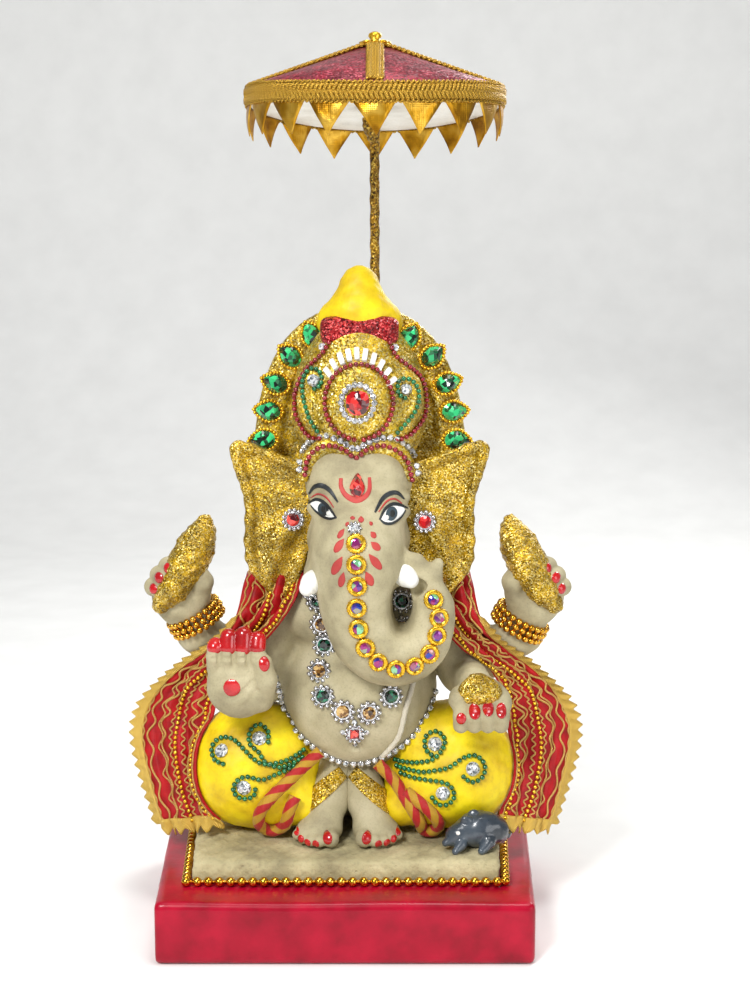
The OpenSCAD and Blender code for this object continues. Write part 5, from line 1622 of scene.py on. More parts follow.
def fluted_disc(diameter: float, flutes: int = 20) -> tuple[Array, list]:
    """Returns a stamped setting with a fluted rim and a dished middle."""
    verts, faces = lathe(
        [
            (0, 0), (diameter * 0.47, 0), (diameter * 0.5, 0.7), (diameter * 0.42, 1.7), (diameter * 0.31, 1.5),
            (diameter * 0.28, 1.0), (0, 1.0)
        ],
        flutes * 2,
    )
    out = np.hypot(verts[:, 0], verts[:, 1])
    angle = np.arctan2(verts[:, 1], verts[:, 0])
    wave = 1 + 0.045 * np.cos(flutes * angle) * (out > diameter * 0.38)
    verts[:, :2] *= wave[:, None]
    verts[:, 2] += 0.16 * np.cos(flutes * angle) * (out > diameter * 0.4) * (verts[:, 2] > 1)
    return verts, faces


@dataclass
class Ornaments:
    """Everything glued or hung on the body: discs, gems, chains, thread, beads and ropes."""

    figure: Figure
    crown: Crown
    disc: float = 9.0
    flower: float = 11.4

    def trunk_discs(self) -> None:
        """Sets the row of mirror discs down the trunk."""
        on = Surface([self.figure.skins["clay_head"]])
        places = [
            (4.8, 180.4), (4.9, 171.6), (5.2, 162.2), (5.0, 152.4), (5.8, 143), (8.8, 134.4), (14.4, 127.8),
            (22.2, 124.4), (30.4, 125.4), (37.0, 130.6), (40.2, 138.6), (41.2, 146.4), (38.8, 154.2)
        ]
        spots = []
        for x, z in places:
            p, n = on.front(x, z)
            n = unit(n + np.array([0, -0.6, 0]))
            spots.append(Spot(p - n * 0.2, n, size=1.0 if z > 130 else 0.96))
        fit(
            set_pieces("trunk_settings_gold", fluted_disc(self.disc), spots, SETTING_GOLD, True), "idol", "gilt",
            "trunk_settings"
        )
        lens = lathe([(0, 0.9), (2.5, 0.95), (2.2, 1.6), (1.2, 1.95), (0, 2.05)], 14)
        fit(set_pieces("trunk_mirror_stones", lens, spots, MIRROR), "idol", "mirror_foil", "trunk_mirrors")
        p, n = on.front(4.0, 186.6)
        bud = [Spot(p, unit(n + np.array([0, -0.4, 0])))]
        fit(set_pieces("trunk_flower_claws", claw_flower(6.4, 9), bud, SILVER, True), "idol", "silver_claw")
        fit(
            set_pieces("trunk_flower_stone", moved(brilliant(3.4, 1.2), (0, 0, 0.8), (0, 0, 1)), bud, CLEAR_STONE),
            "idol", "clear_stone"
        )
        seat, out = on.front(5.2, 203.6)
        drop = bend(
            [(5.6, 0), (2.4, 2.2), (-1.4, 3.4), (-4.6, 2.2), (-5.6, 0), (-4.6, -2.2), (-1.4, -3.4), (2.4, -2.2)], 3,
            True
        )
        gem = moved(domed(drop, 3.2, 0.45), seat - out * 0.1, out, (0, 0, 1))
        fit(solid("forehead_gem_red", gem[0], gem[1], RED_STONE, smooth=False), "idol", "red_stone", "forehead_gem")

    def ear_studs(self) -> None:
        """Sets a stone flower on each ear."""
        on = Surface([self.crown.skins["right_ear_glitter"], self.crown.skins["left_ear_glitter"]])
        spots = []
        for x, z in ((-23.9, 186), (35.4, 185.1)):
            p, n = on.front(x, z)
            spots.append(Spot(p, unit(n + np.array([0, -1.5, 0]))))
        fit(
            set_pieces("ear_stud_claws", claw_flower(10.6, 13), spots, SILVER, True), "idol", "silver_claw",
            "ear_studs"
        )
        stone = moved(brilliant(6.0, 1.6, 10), (0, 0, 0.9), (0, 0, 1))
        fit(set_pieces("ear_stud_stones", stone, spots, RED_STONE), "idol", "red_stone", "ear_stud_gems")

    def necklace(self) -> None:
        """Hangs the necklace of stone flowers and its pendant."""
        on = Surface([self.figure.skins["clay_body"]])
        dark = [(-18.7, 165.6), (-13, 149), (-10, 128.4), (-10.5, 106.6), (20.2, 106.6), (25.1, 148.7)]
        amber = [(-11.3, 138.6), (-12.3, 117.3), (-1.5, 100.2), (10.3, 99.6), (25.6, 137.2)]
        groups = {}
        for label, places in (("dark", dark), ("amber", amber)):
            rows = []
            for x, z in places:
                p, n = on.front(x, z)
                p[1] = min(p[1], -6.0 if z > 112 else p[1])
                rows.append(Spot(p + n * 0.1, unit(n + np.array([0, -1.2, 0]))))
            groups[label] = rows
        both = groups["dark"] + groups["amber"]
        fit(
            set_pieces("necklace_claws", claw_flower(self.flower), both, SILVER, True), "idol", "silver_claw",
            "necklace_flowers"
        )
        stone = moved(brilliant(6.2, 1.8, 10), (0, 0, 0.9), (0, 0, 1))
        fit(
            set_pieces("necklace_dark_stones", stone, groups["dark"], DARK_STONE), "idol", "green_stone",
            "necklace_gems"
        )
        fit(set_pieces("necklace_amber_stones", stone, groups["amber"], AMBER_STONE), "idol", "green_stone")
        p, n = on.front(3.8, 89.6)
        hang = [Spot(p, unit(n + np.array([0, -1.5, 0])))]
        fit(set_pieces("pendant_claws", claw_flower(9.6, 12), hang, SILVER, True), "idol", "silver_claw")
        fit(
            set_pieces(
                "pendant_stone", moved(brilliant(6.0, 2.0, 4), (0, 0, 0.9), (0, 0, 1), (0.7, 0.7, 0)), hang, RED_STONE
            ),
            "idol", "red_stone", "necklace_pendant"
        )
        knobs = []
        for x, z in ((3.8, 95.2), (-1.6, 90.2), (9.2, 90.2), (3.8, 83.8)):
            p, n = on.front(x, z)
            knobs.append(Spot(p + n * 0.3, n))
        fit(set_pieces("pendant_side_stones", brilliant(2.6, 1.2), knobs, CLEAR_STONE), "idol", "clear_stone")

    def chain_and_thread(self) -> None:
        """Lays the stone chain round the waist and the cotton thread over the belly."""
        names = ["clay_body", "right_thigh_cloth", "left_thigh_cloth"]
        on = Surface([self.figure.skins[n] for n in names])
        line = [
            (-33.4, 112), (-31.8, 106), (-30, 99.6), (-25.5, 90.6), (-18.7, 84), (-7.7, 76.4), (2.5, 73.4),
            (12.2, 75), (23.1, 80.7), (31.4, 87.3), (36.8, 95.4), (40.4, 103)
        ]
        rows = [on.front(x, z) for x, z in evenly(bend(line, 8), 3.4)]
        spots = [Spot(p + n * 0.6, n) for p, n in rows]
        fit(
            set_pieces("waist_chain_stones", brilliant(3.0, 1.6), spots, CLEAR_STONE), "idol", "clear_stone",
            "waist_chain"
        )
        cup = lathe([(0, -0.8), (1.5, -0.8), (1.75, 0.5), (1.45, 0.6), (0, 0.1)], 10)
        fit(set_pieces("waist_chain_cups", cup, spots, SILVER, True), "idol", "silver_claw")
        thread = on.run([(30, 150), (31.5, 130), (30, 112), (26.6, 100), (23.4, 87), (16, 77)], 0.7, 10)
        r = 1.25 + 0.12 * np.sin(np.arange(len(thread)) * 1.9)
        verts, faces, uv = rod(thread, r, 8)
        fit(solid("sacred_thread_cotton", verts, faces, COTTON, uv), "idol", "cotton_thread", "sacred_thread")

    def thighs(self) -> None:
        """Glues the bead curls, stones and hem ropes on the clothed thighs."""
        names = ["right_thigh_cloth", "left_thigh_cloth"]
        on = Surface([self.figure.skins[n] for n in names])
        curls = [
            [
                (-20.4, 79.0), (-28.3, 75.9), (-36.9, 75.2), (-42.3, 77.4), (-46.5, 81.4), (-51.8, 85.2),
                (-57.4, 85.0), (-61.4, 81.0), (-60.0, 76.4), (-55.8, 75.0)
            ],
            [
                (-20.8, 75.9), (-29.5, 73.4), (-36.5, 75.6), (-40.2, 80.6), (-44.4, 84.0), (-43.8, 88.8),
                (-40.0, 91.0), (-36.1, 88.4), (-35.8, 84.2)
            ],
            [
                (-24.6, 72.8), (-32.7, 70.2), (-39.1, 68.6), (-45.6, 70.2), (-50.1, 68.0), (-51.2, 63.4),
                (-47.6, 60.2), (-42.4, 61.0), (-41.4, 64.4)
            ],
            [
                (22.8, 74.0), (31.8, 74.8), (38.9, 76.6), (43.8, 81.2), (44.8, 85.7), (40.8, 88.2), (36.5, 85.8),
                (36.3, 81.1), (38.9, 78.9)
            ],
            [
                (23.6, 71.6), (34.1, 71.2), (45.8, 73.7), (53.0, 78.0), (58.8, 78.6), (62.6, 74.6), (61.7, 69.7),
                (57.0, 67.7), (53.1, 70.2)
            ],
            [
                (25.4, 69.0), (34.0, 67.9), (42.6, 67.7), (47.3, 65.9), (49.1, 61.2), (46.1, 57.4), (41.6, 57.2),
                (39.2, 60.2)
            ],
        ]
        string = beads("thigh_curl_beads_green", [on.run(c, 0.9, 8) for c in curls], 2.4, 2.5, GREEN_BEAD)
        fit(string, "idol", "green_bead", "dhoti_bead_scrolls")
        spots = []
        for x, z in ((-57.0, 80.3), (-39.9, 85.9), (-46.6, 65.0), (40.5, 83.4), (57.3, 73.4), (43.9, 62.3)):
            p, n = on.front(x, z)
            spots.append(Spot(p, n))
        fit(
            set_pieces("thigh_stones", brilliant(6.6, 2.1, 12), spots, CLEAR_STONE), "idol", "clear_stone",
            "dhoti_stones"
        )
        near = Surface([self.figure.skins[n] for n in (*names, "clay_body", "right_foot_clay", "left_foot_clay")])
        paths = [
            [
                (-12.0, 79.5), (-19.8, 72.7), (-32.8, 62.0), (-39.2, 53.4), (-39.8, 45.6), (-34.8, 41.8),
                (-28.6, 45.2), (-26.0, 54.0), (-23.4, 60.0)
            ],
            [
                (14.0, 74.0), (21.4, 66.4), (28.0, 57.4), (33.2, 48.6), (35.0, 42.8), (39.8, 41.8), (42.4, 46.4),
                (37.4, 54.4), (27.4, 62.0)
            ],
        ]
        ropes = []
        for path in paths:
            flat = bend(path, 8)
            ys = np.array([near.front(x, z)[0][1] for x, z in flat]) - 2.0
            ys = np.minimum(ys, -11.5)
            for _ in range(6):
                ys[1:-1] = (ys[:-2] + 2 * ys[1:-1] + ys[2:]) / 4
            line = evenly(np.c_[flat[:, 0], ys, flat[:, 1]], 0.8)
            ropes.append(self.twisted(line, 2.8))
        verts, faces, uv = gather(ropes)
        fit(solid("hem_ropes_twisted", verts, faces, ROPE, uv), "idol", "twisted_cord", "hem_ropes")

    @staticmethod
    def twisted(line: Array, radius: float, pitch: float = 9.0) -> tuple:
        """Returns a rope of fluted section that turns as it runs, mapped so that its colours turn with it."""
        verts, faces, uv = rod(line, radius, 18)
        sides = 18
        rings = len(line)
        travel = np.r_[0, np.cumsum(np.linalg.norm(np.diff(line, axis=0), axis=1))]
        grid = verts.reshape(rings, sides, 3)
        turn = 2 * np.pi * (2 * np.arange(sides)[None] / sides + travel[:, None] / pitch)
        grid = line[:, None] + (grid - line[:, None]) * (1 + 0.09 * np.abs(np.sin(turn)) - 0.05)[..., None]
        return grid.reshape(-1, 3), faces, uv

    def bracelets(self) -> None:
        """Rings each rear wrist with rows of gilt balls."""
        for side, name, z in ((-1, "right", 135.6), (1, "left", 133.6)):
            x = -71.2 if side < 0 else across(-71.2)
            axis = unit(np.array([side * 0.47, -0.12, 0.87]))
            one = unit(np.cross(axis, (0, 1, 0)))
            two = np.cross(axis, one)
            a = np.linspace(0, 2 * np.pi, 60)[:, None]
            rings = []
            for row in range(3):
                middle = np.array([x, 19.0, z]) + axis * (row - 1) * 3.1
                rings.append(middle + (12.4 + 0.3 * (row == 1)) * (np.cos(a) * one + np.sin(a) * two))
            piece = beads(f"{name}_bracelet_balls", rings, 3.3, 3.35, GILT)
            fit(piece, "idol", "gilt", f"{name}_bracelets")

    def build(self) -> None:
        """Builds the ornaments."""
        self.trunk_discs()
        self.ear_studs()
        self.necklace()
        self.chain_and_thread()
        self.thighs()
        self.bracelets()


# ---------------------------------------------------------------- shawl
def sheeted(grid: Array, normals: Array, thick: float) -> tuple[Array, list, Array]:
    """Closes a grid of points into a thin sheet, mapped in millimetres.

    Args:
        grid: rows and columns of points on its middle.
        normals: the outward way at each.
        thick: the sheet's thickness.

    Returns:
        Corners, faces and the map.
    """
    n, m = grid.shape[:2]
    top, under = grid + normals * thick / 2, grid - normals * thick / 2
    along = np.r_[0, np.cumsum(np.linalg.norm(np.diff(grid, axis=0), axis=2).mean(1))]
    across_mm = np.r_[0, np.cumsum(np.linalg.norm(np.diff(grid, axis=1), axis=2).mean(0))]
    number = np.arange(n * m).reshape(n, m)
    faces, uv = [], []

    def face(cells: list, flip: bool) -> None:
        order = cells[::-1] if flip else cells
        faces.append([int(number[i, j]) + s * n * m for i, j, s in order])
        uv.extend((along[i], across_mm[j]) for i, j, _ in order)

    for i in range(n - 1):
        for j in range(m - 1):
            ring = [(i, j), (i + 1, j), (i + 1, j + 1), (i, j + 1)]
            face([(*q, 0) for q in ring], False)
            face([(*q, 1) for q in ring], True)
    for i in range(n - 1):
        face([(i, 0, 1), (i + 1, 0, 1), (i + 1, 0, 0), (i, 0, 0)], False)
        face([(i, m - 1, 0), (i + 1, m - 1, 0), (i + 1, m - 1, 1), (i, m - 1, 1)], False)
    for j in range(m - 1):
        face([(0, j + 1, 1), (0, j, 1), (0, j, 0), (0, j + 1, 0)], False)
        face([(n - 1, j, 1), (n - 1, j + 1, 1), (n - 1, j + 1, 0), (n - 1, j, 0)], False)
    verts = np.concatenate([top.reshape(-1, 3), under.reshape(-1, 3)])
    a, b, c = (verts[faces[0][k]] for k in (0, 1, 2))
    if np.cross(b - a, c - b) @ normals[0, 0] < 0:
        faces = [f[::-1] for f in faces]
        uv = [uv[4 * i + k] for i in range(len(faces)) for k in (3, 2, 1, 0)]
    return verts, faces, np.array(uv)


# Half of the cloth: inner and outer edge from behind the neck to the hem
DRAPE = [
    ((6, 36, 162), (6, 38, 128)), ((-16, 34, 166), (-22, 38, 130)), ((-23, 22, 171), (-44, 30, 154)),
    ((-19, 6, 167), (-47, 9, 155)), ((-23, -9, 150), (-52, -2, 138)), ((-40, -9, 128), (-64, 8, 124)),
    ((-54, 2, 115), (-82, 12, 110)), ((-60, 4, 101), (-94, 14, 96)), ((-63, 1, 82), (-98, 13, 79)),
    ((-61, -5, 62), (-93, 8, 57)), ((-58, -10, 47), (-87, 3, 40)),
]


@dataclass
class Shawl:
    """The red cloth over the shoulders, with its gold cords, sequin line and toothed lace."""

    figure: Figure
    thick: float = 0.9
    columns: int = 34
    stitches: int = 620
    laced_share: float = 0.31
    grid: Array = field(default_factory=lambda: np.zeros((1, 1, 3)))
    normals: Array = field(default_factory=lambda: np.zeros((1, 1, 3)))

    def drape(self) -> None:
        """Works out where the cloth lies and how it folds."""
        right = np.array(DRAPE, float)
        left = right * (-1, 1, 1) + (12, 0, 0)
        left[:, 1, 0] -= np.clip((left[:, 1, 0] - 40) * 0.07, 0, 4.0)
        rows = np.concatenate([right[::-1], left[1:]])
        path = bend(rows.reshape(len(rows), 6), 14).reshape(-1, 2, 3)
        v = np.linspace(0, 1, self.columns)[None, :, None]
        grid = path[:, :1] * (1 - v) + path[:, 1:] * v
        travel = np.linspace(0, 1, len(path))[:, None]
        end = np.abs(travel - 0.5) * 2
        fold = np.sin(2 * np.pi * (2.6 * v[..., 0] + 0.7 * np.sin(9 * end) + 0.35))
        fold = fold + 0.5 * np.sin(2 * np.pi * (5.3 * v[..., 0] + 1.3 * end))
        hold = np.clip(np.minimum(v[..., 0], 1 - v[..., 0]) / 0.2, 0.15, 1)
        depth = 0.8 + 1.9 * np.exp(-(((end - 0.42) / 0.16) ** 2)) + 0.4 * end
        bow = np.sin(np.pi * v[..., 0]) * 3.5 * np.clip(end - 0.45, 0, 1)
        grid = grid + self._outward(grid) * (fold * depth * hold + bow)[..., None]
        clays = [self.figure.body, *self.figure.thighs]
        for _ in range(4):
            near, way = self._nearest(grid, clays)
            push = np.clip(1.3 - near, 0, 3.0)
            grid = grid + way * push[..., None]
        for _ in range(2):
            grid[1:-1] = (grid[:-2] + 2 * grid[1:-1] + grid[2:]) / 4
        self.grid, self.normals = grid, self._outward(grid)

    @staticmethod
    def _nearest(points: Array, clays: Sequence[Clay]) -> tuple[Array, Array]:
        """Returns the distance to the nearest clay and the way out of it."""

        def depth(p: Array) -> Array:
            return np.min([c.distance(p) for c in clays], 0)

        at, h = depth(points), 0.4
        slope = np.stack([depth(points + h * np.eye(3)[k]) - at for k in range(3)], -1) / h
        return at, unit(slope)

    @staticmethod
    def _outward(grid: Array) -> Array:
        """Returns the cloth's outward normals."""
        n = unit(np.cross(np.gradient(grid, axis=0), np.gradient(grid, axis=1)))
        away = grid - np.array([6, 30, 90])
        return n if np.sum(n * away) > 0 else -n

    def _on(self, place: Array, width: Array, lift: float) -> Array:
        """Returns points on the cloth at shares of its length and width."""
        i = np.clip(place, 0, 1) * (self.grid.shape[0] - 1)
        j = np.clip(width, 0, 1) * (self.grid.shape[1] - 1)
        i0, j0 = np.minimum(i.astype(int), self.grid.shape[0] - 2), np.minimum(j.astype(int), self.grid.shape[1] - 2)
        s, t = (i - i0)[:, None], (j - j0)[:, None]

        def mix(g: Array) -> Array:
            return (g[i0, j0] * (1 - s) + g[i0 + 1, j0] * s) * (1 - t) + (
                g[i0, j0 + 1] * (1 - s) + g[i0 + 1, j0 + 1] * s
            ) * t

        return mix(self.grid) + unit(mix(self.normals)) * lift

    def cloth(self) -> bpy.types.Object:
        """Builds the satin itself."""
        verts, faces, uv = sheeted(self.grid, self.normals, self.thick)
        return fit(solid("shawl_satin", verts, faces, SATIN, uv), "idol", "shawl_cloth", "shawl")

    def embroidery(self) -> list[bpy.types.Object]:
        """Sews the wavy gold cords and the line of gold barrels between them."""
        count = self.stitches
        place = np.linspace(0.004, 0.996, count)
        rods = []
        for v, swing, wave, r in (
            (0.06, 0.006, 7, 0.42), (0.20, 0.045, 15, 0.5), (
                0.26, 0.045, 15, 0.42
            ), (0.385, 0.02, 6, 0.42), (0.535, 0.02, 6, 0.42),
            (0.64, 0.045, 17, 0.5), (0.69, 0.05, 17, 0.42), (0.83, 0.04, 21, 0.5), (0.93, 0.012, 9, 0.42),
        ):
            width = v + swing * np.sin(2 * np.pi * place * float(count) / wave + 9 * v)
            rods.append(rod(self._on(place, width, self.thick / 2 + r * 0.6), r, 6))
        verts, faces, uv = gather(rods)
        cords = fit(solid("shawl_gold_cords", verts, faces, CORD, uv), "idol", "gilt_lace")
        line = self._on(place, np.full(count, 0.46), self.thick / 2 + 0.7)
        second = self._on(place, 0.115 + 0.012 * np.sin(place * 240), self.thick / 2 + 0.5)
        sequins = beads("shawl_gold_barrels", [line, second], 1.9, 2.3, SETTING_GOLD)
        return [cords, fit(sequins, "idol", "gilt_lace")]

    def lace(self) -> bpy.types.Object:
        """Sews the toothed lace along the outer edges and the hems."""
        strips = []
        n = self.grid.shape[0]
        reach = int(n * self.laced_share)
        edges = [
            (self.grid[:reach, -1], self.grid[:reach, -4], self.normals[:reach, -1]),
            (self.grid[n - reach :, -1], self.grid[n - reach :, -4], self.normals[n - reach :, -1]),
            (self.grid[0], self.grid[3], self.normals[0]),
            (self.grid[-1], self.grid[-4], self.normals[-1]),
        ]
        for edge, inner, normal in edges:
            rows = np.c_[edge, unit(edge - inner), normal]
            rows = evenly(rows, 0.55)
            e, way, up = rows[:, :3], unit(rows[:, 3:6]), unit(rows[:, 6:9])
            travel = np.r_[0, np.cumsum(np.linalg.norm(np.diff(e, axis=0), axis=1))]
            tooth = 1 - np.abs((travel / 5.2) % 1 * 2 - 1)
            width = 2.4 + 3.4 * tooth
            k = np.linspace(0, 1, 6)[None, :, None]
            strip = e[:, None] - way[:, None] * 2.2 + way[:, None] * k * (width + 2.2)[:, None, None]
            strip = strip + up[:, None] * (0.75 + 0.18 * np.sin(k * 9))
            strips.append(sheeted(strip, np.broadcast_to(up[:, None], strip.shape), 0.7))
        verts, faces, uv = gather(strips)
        return fit(solid("shawl_toothed_lace", verts, faces, LACE, uv), "idol", "gilt_lace", "shawl_lace")

    def build(self) -> None:
        self.drape()
        satin = self.cloth()
        extras = [*self.embroidery(), self.lace()]


# ------------------------------------------------------------- umbrella
def joined_up(shape: tuple[Array, list], sides: int) -> tuple[Array, list]:
    """Joins the last ring of a turned shape to its first, so that it closes on itself."""
    last = len(shape[0]) - sides
    shape[1].extend([[last + k, last + (k + 1) % sides, (k + 1) % sides, k] for k in range(sides)])
    return shape


@dataclass
class Umbrella:
    """The wrapped pole and the paper canopy with its braid, pennants and finial."""

    x: float = 13
    y: float = 42
    rim_z: float = 371
    radius: float = 61
    rim_height: float = 9
    rise: float = 20
    lean: float = 3.0

    def up(self, part: tuple) -> tuple:
        """Stands a part made about the rim's middle on the pole, leaning back, with the card drooping front and back."""
        t = math.radians(self.lean)
        v = part[0]
        y = v[:, 1] * math.cos(t) + v[:, 2] * math.sin(t)
        z = -v[:, 1] * math.sin(t) + v[:, 2] * math.cos(t)
        droop = 5.0 * (v[:, 1] / self.radius) ** 2
        return (np.stack([v[:, 0] + self.x, y + self.y, z + self.rim_z - droop], 1), *part[1:])

    def pole(self) -> None:
        """Builds the pole, wound with glittered tape, and the knot under the canopy."""
        z = np.arange(16, self.rim_z + 24, 0.9)
        wobble = 0.35 * np.sin(z / 31)
        line = np.stack([self.x + wobble * 0.5, self.y + wobble, z], 1)
        radius = 2.15 + 0.28 * np.abs(((z / 7.5) % 1) - 0.5)
        radius = np.where((z > 38) & (z < 368), radius, 2.15)
        verts, faces, _ = rod(line, radius, 14)
        angle = np.arctan2(verts[:, 1] - self.y, verts[:, 0] - self.x)
        lift = 1 + 0.07 * np.sin(angle + verts[:, 2] / 1.6) * ((verts[:, 2] > 38) & (verts[:, 2] < 366))
        verts[:, 0] = self.x + (verts[:, 0] - self.x) * lift
        verts[:, 1] = self.y + (verts[:, 1] - self.y) * lift
        fit(solid("pole_wrapped", verts, faces, POLE_WRAP), "umbrella_pole", "wrapped_pole", "umbrella_pole")
        knot = Clay(0.5).limb(
            [
                (self.x - 0.6, self.y - 1.6, 357, 2.6), (self.x - 1.4, self.y - 2.4, 362, 3.2),
                (self.x, self.y, 366, 3.4)
            ],
            3
        )
        knot.limb([(self.x - 3.4, self.y - 3.6, 362.5, 1.5), (self.x - 5.0, self.y - 5.0, 365.5, 1.0)], 2)
        verts, faces = knot.skin()
        fit(solid("pole_knot", grained(verts, 0.35, 4), faces, POLE_WRAP), "umbrella_pole", "wrapped_pole")

    def plait(self, at: Callable[[Array, Array, Array], Array], length: float, width: float, closed: bool) -> list:
        """Returns three crossing strands with an edge cord each side, along a band."""
        n = int(length / 0.55)
        t = np.arange(n) * (length / n)
        parts = []
        for k in range(3):
            phase = 2 * np.pi * (t / 6.6 + k / 3)
            if closed:
                phase = 2 * np.pi * (t * round(length / 6.6) / length + k / 3)
            parts.append(rod(at(t, width * 0.30 * np.sin(phase), 0.75 + 0.5 * np.sin(2 * phase)), 0.95, 6, closed))
        for edge in (-1, 1):
            loops = 2 * np.pi * t * round(length / 2.4) / length
            parts.append(
                rod(at(t, edge * width * 0.42 + 0.55 * np.sin(loops), 0.6 + 0.35 * np.cos(loops)), 0.62, 5, closed)
            )
        return parts

    def canopy(self) -> None:
        """Builds the cone, lining, braid, pennants and finial."""
        r, h = self.radius - 3, self.rim_height
        cone = lathe(
            [
                (3, h + self.rise - 1.1), (r - 1, h - 1.1), (r - 1, 2.1), (r, 2.1), (r, h),
                (r * 0.66, h + self.rise * 0.35), (r * 0.33, h + self.rise * 0.69), (3, h + self.rise)
            ],
            72
        )
        cone = joined_up(cone, 72)
        angle = np.arctan2(cone[0][:, 1], cone[0][:, 0])
        sag = np.abs(np.sin(2 * angle)) * 0.9 * (np.hypot(cone[0][:, 0], cone[0][:, 1]) < r * 0.9)
        cone[0][:, 2] -= sag
        part = self.up(cone)
        fit(solid("canopy_cone_paper", part[0], part[1], CANOPY_GLITTER), "canopy", "canopy_foil", "canopy_cone")
        disc = lathe([(2.6, 0.0), (r * 0.5, 0.5), (r - 1.2, 0.2), (r - 0.2, 0.8), (r - 0.2, 2.0), (2.6, 2.0)], 72)
        disc = joined_up(disc, 72)
        part = self.up(disc)
        fit(solid("canopy_lining_card", part[0], part[1], CARD), "canopy", "lining_card", "canopy_lining")

        def rim(t: Array, side: Array, out: Array) -> Array:
            a = t / self.radius
            reach = self.radius - 2.4 + out
            return np.stack([reach * np.cos(a), reach * np.sin(a), h / 2 + side], 1)

        parts = self.plait(rim, 2 * math.pi * self.radius, h + 0.6, True)
        under = lathe([(r - 0.2, 0.4), (r + 0.9, 0.4), (r + 0.9, h - 0.2), (r - 0.2, h - 0.2)], 96)
        under = joined_up(under, 96)
        parts.append((under[0], under[1], np.tile([(0.0, 0.0)], (sum(len(f) for f in under[1]), 1))))
        slope = math.atan2(self.rise, r)
        run = math.hypot(self.rise, r) - 8
        for quarter in range(4):
            a = math.radians(90 * quarter)

            def rib(t: Array, side: Array, out: Array, a: float = a) -> Array:
                reach = 5 + t * math.cos(slope)
                z = h + self.rise - reach * math.tan(slope) + 0.4 + out
                return np.stack(
                    [reach * math.cos(a) - side * math.sin(a), reach * math.sin(a) + side * math.cos(a), z], 1
                )

            parts += self.plait(rib, run + 3, 7.4, False)
        verts, faces, uv = gather(parts)
        part = self.up((verts, faces, uv))
        fit(solid("canopy_gold_braid", part[0], part[1], BRAID, part[2]), "canopy", "gold_braid", "canopy_braids")
        self.pennants()
        petals = [
            moved(
                lathe([(0, -1.0), (2.2, -0.5), (2.4, 0.5), (0, 1.1)], 8),
                (5.0 * math.cos(a), 5.0 * math.sin(a), h + self.rise + 0.3), (0, 0, 1)
            ) for a in np.linspace(0, 2 * math.pi, 9)[:-1]
        ]
        knob = lathe(
            [(0, -2), (6.4, -1.4), (6.8, -0.2), (3.0, 1.0), (2.2, 2.0), (3.2, 3.4), (2.8, 4.6), (1.2, 5.4), (0, 5.6)],
            28
        )
        shape = gather([*petals, moved(knob, (0, 0, h + self.rise), (0, 0, 1))])
        part = self.up((shape[0], shape[1]))
        fit(solid("canopy_finial", part[0], part[1], SETTING_GOLD), "canopy", "gold_braid", "finial")

    def pennants(self, count: int = 18, height: float = 15.0) -> None:
        """Hangs the foil pennants round the rim."""
        width = 2 * math.pi * self.radius / count - 1.4
        n, m = 9, 7
        grid = np.zeros((n, m, 3))
        for i in range(n):
            t = i / (n - 1)
            x = np.linspace(-0.5, 0.5, m) * width * max(1 - t, 0.02)
            grid[i] = np.stack(
                [x, 1.2 - height * t + 0 * x, 0.7 * np.sin(np.pi * t) - 2.2 * (x / width) ** 2 - 0.8 * t], 1
            )
        verts, faces, _ = sheeted(grid, np.broadcast_to(np.array([0, 0, 1.0]), grid.shape), 0.45)
        spots = []
        for k in range(count):
            a = 2 * math.pi * (k + 0.5) / count
            point = np.array([[(self.radius - 2.4) * math.cos(a), (self.radius - 2.4) * math.sin(a), 0.0]])
            spot = self.up((point, []))[0][0]
            way = np.array([math.cos(a), math.sin(a), 0.04 * math.sin(5 * k)])
            spots.append(Spot(spot, way, np.array([-math.sin(a), math.cos(a), 0.05 * math.sin(3 * k)])))
        fit(set_pieces("canopy_pennants_foil", (verts, faces), spots, FOIL, True), "canopy", "gold_foil", "pennants")

    def build(self) -> None:
        """Builds the umbrella."""
        self.pole()
        self.canopy()


# --------------------------------------------------------------- studio
def lamp(name: str, place: Point, aim: Point, size: float, power: float) -> None:
    """Hangs a square soft lamp, in metres and watts, turned towards a point."""
    light = bpy.data.lights.new(name, "AREA")
    light.shape, light.size, light.energy = "SQUARE", size, power
    made = bpy.data.objects.new(name, light)
    made.location = place
    made.rotation_euler = (Vector(aim) - Vector(place)).to_track_quat("-Z", "Y").to_euler()
    bpy.context.scene.collection.objects.link(made)


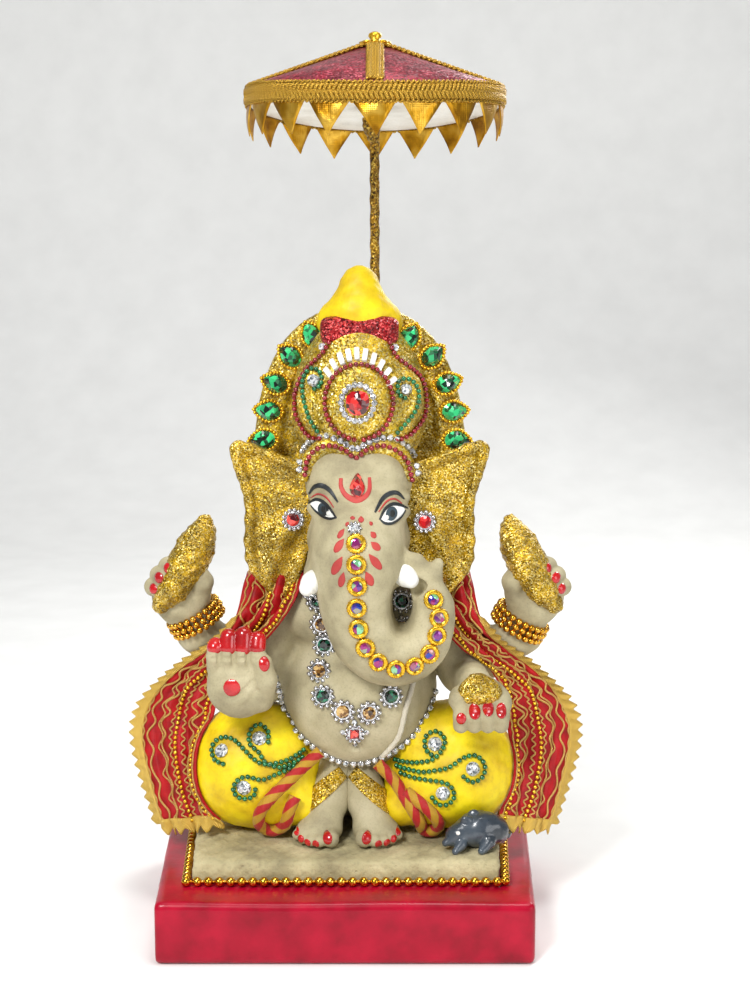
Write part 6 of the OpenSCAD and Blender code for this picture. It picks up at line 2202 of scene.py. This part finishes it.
LENS_MM, SENSOR_MM = 61.2, 36.0
EYE = (0.013, -0.762, 0.315)
TILT_DOWN = 9
ROOM_LIGHT = 0.26


def studio() -> None:
    """Builds the pale floor and sweep, the lamps and the camera."""
    profile = [(-1.6, 0.0), (0.9, 0.0)] + [
        (0.9 + 0.5 * math.sin(a), 0.5 - 0.5 * math.cos(a)) for a in np.linspace(0.15, math.pi / 2, 10)
    ] + [(1.4, 2.6)]
    verts = [(x * 1000, y * 1000, z * 1000 - 0.05) for y, z in profile for x in (-2.6, 2.6)]
    faces = [[2 * i, 2 * i + 1, 2 * i + 3, 2 * i + 2] for i in range(len(profile) - 1)]
    solid("floor_sweep", np.array(verts), faces, FLOOR)
    world = bpy.data.worlds.new("soft_room")
    bpy.context.scene.world = world
    world.use_nodes = True
    world.node_tree.nodes["Background"].inputs["Color"].default_value = linear("#f7f8fa")
    world.node_tree.nodes["Background"].inputs["Strength"].default_value = ROOM_LIGHT
    bpy.context.scene.view_settings.view_transform = "Standard"
    aim = (0.01, 0.0, 0.18)
    lamp("key_lamp", (-0.45, -0.95, 0.95), aim, 0.35, 15)
    lamp("fill_lamp", (0.9, -0.8, 0.4), aim, 0.6, 4)
    lamp("back_lamp", (0.5, 0.8, 0.7), aim, 0.4, 5)
    lamp("top_lamp", (0.1, -0.1, 1.3), aim, 0.5, 7)
    eye = bpy.data.cameras.new("camera")
    eye.lens, eye.sensor_width, eye.clip_start = LENS_MM, SENSOR_MM, 0.02
    made = bpy.data.objects.new("camera", eye)
    made.location = EYE
    made.rotation_euler = (math.radians(90 - TILT_DOWN), 0.0, 0.0)
    bpy.context.scene.collection.objects.link(made)
    bpy.context.scene.camera = made


def main() -> None:
    """Builds the idol from the stand up, then the studio."""
    logging.basicConfig(level=logging.INFO, format="%(message)s")
    Stand().build()
    figure = Figure()
    figure.build()
    crown = Crown()
    crown.build()
    Ornaments(figure, crown).build()
    Shawl(figure).build()
    Umbrella().build()
    studio()


if __name__ == "__main__":
    main()
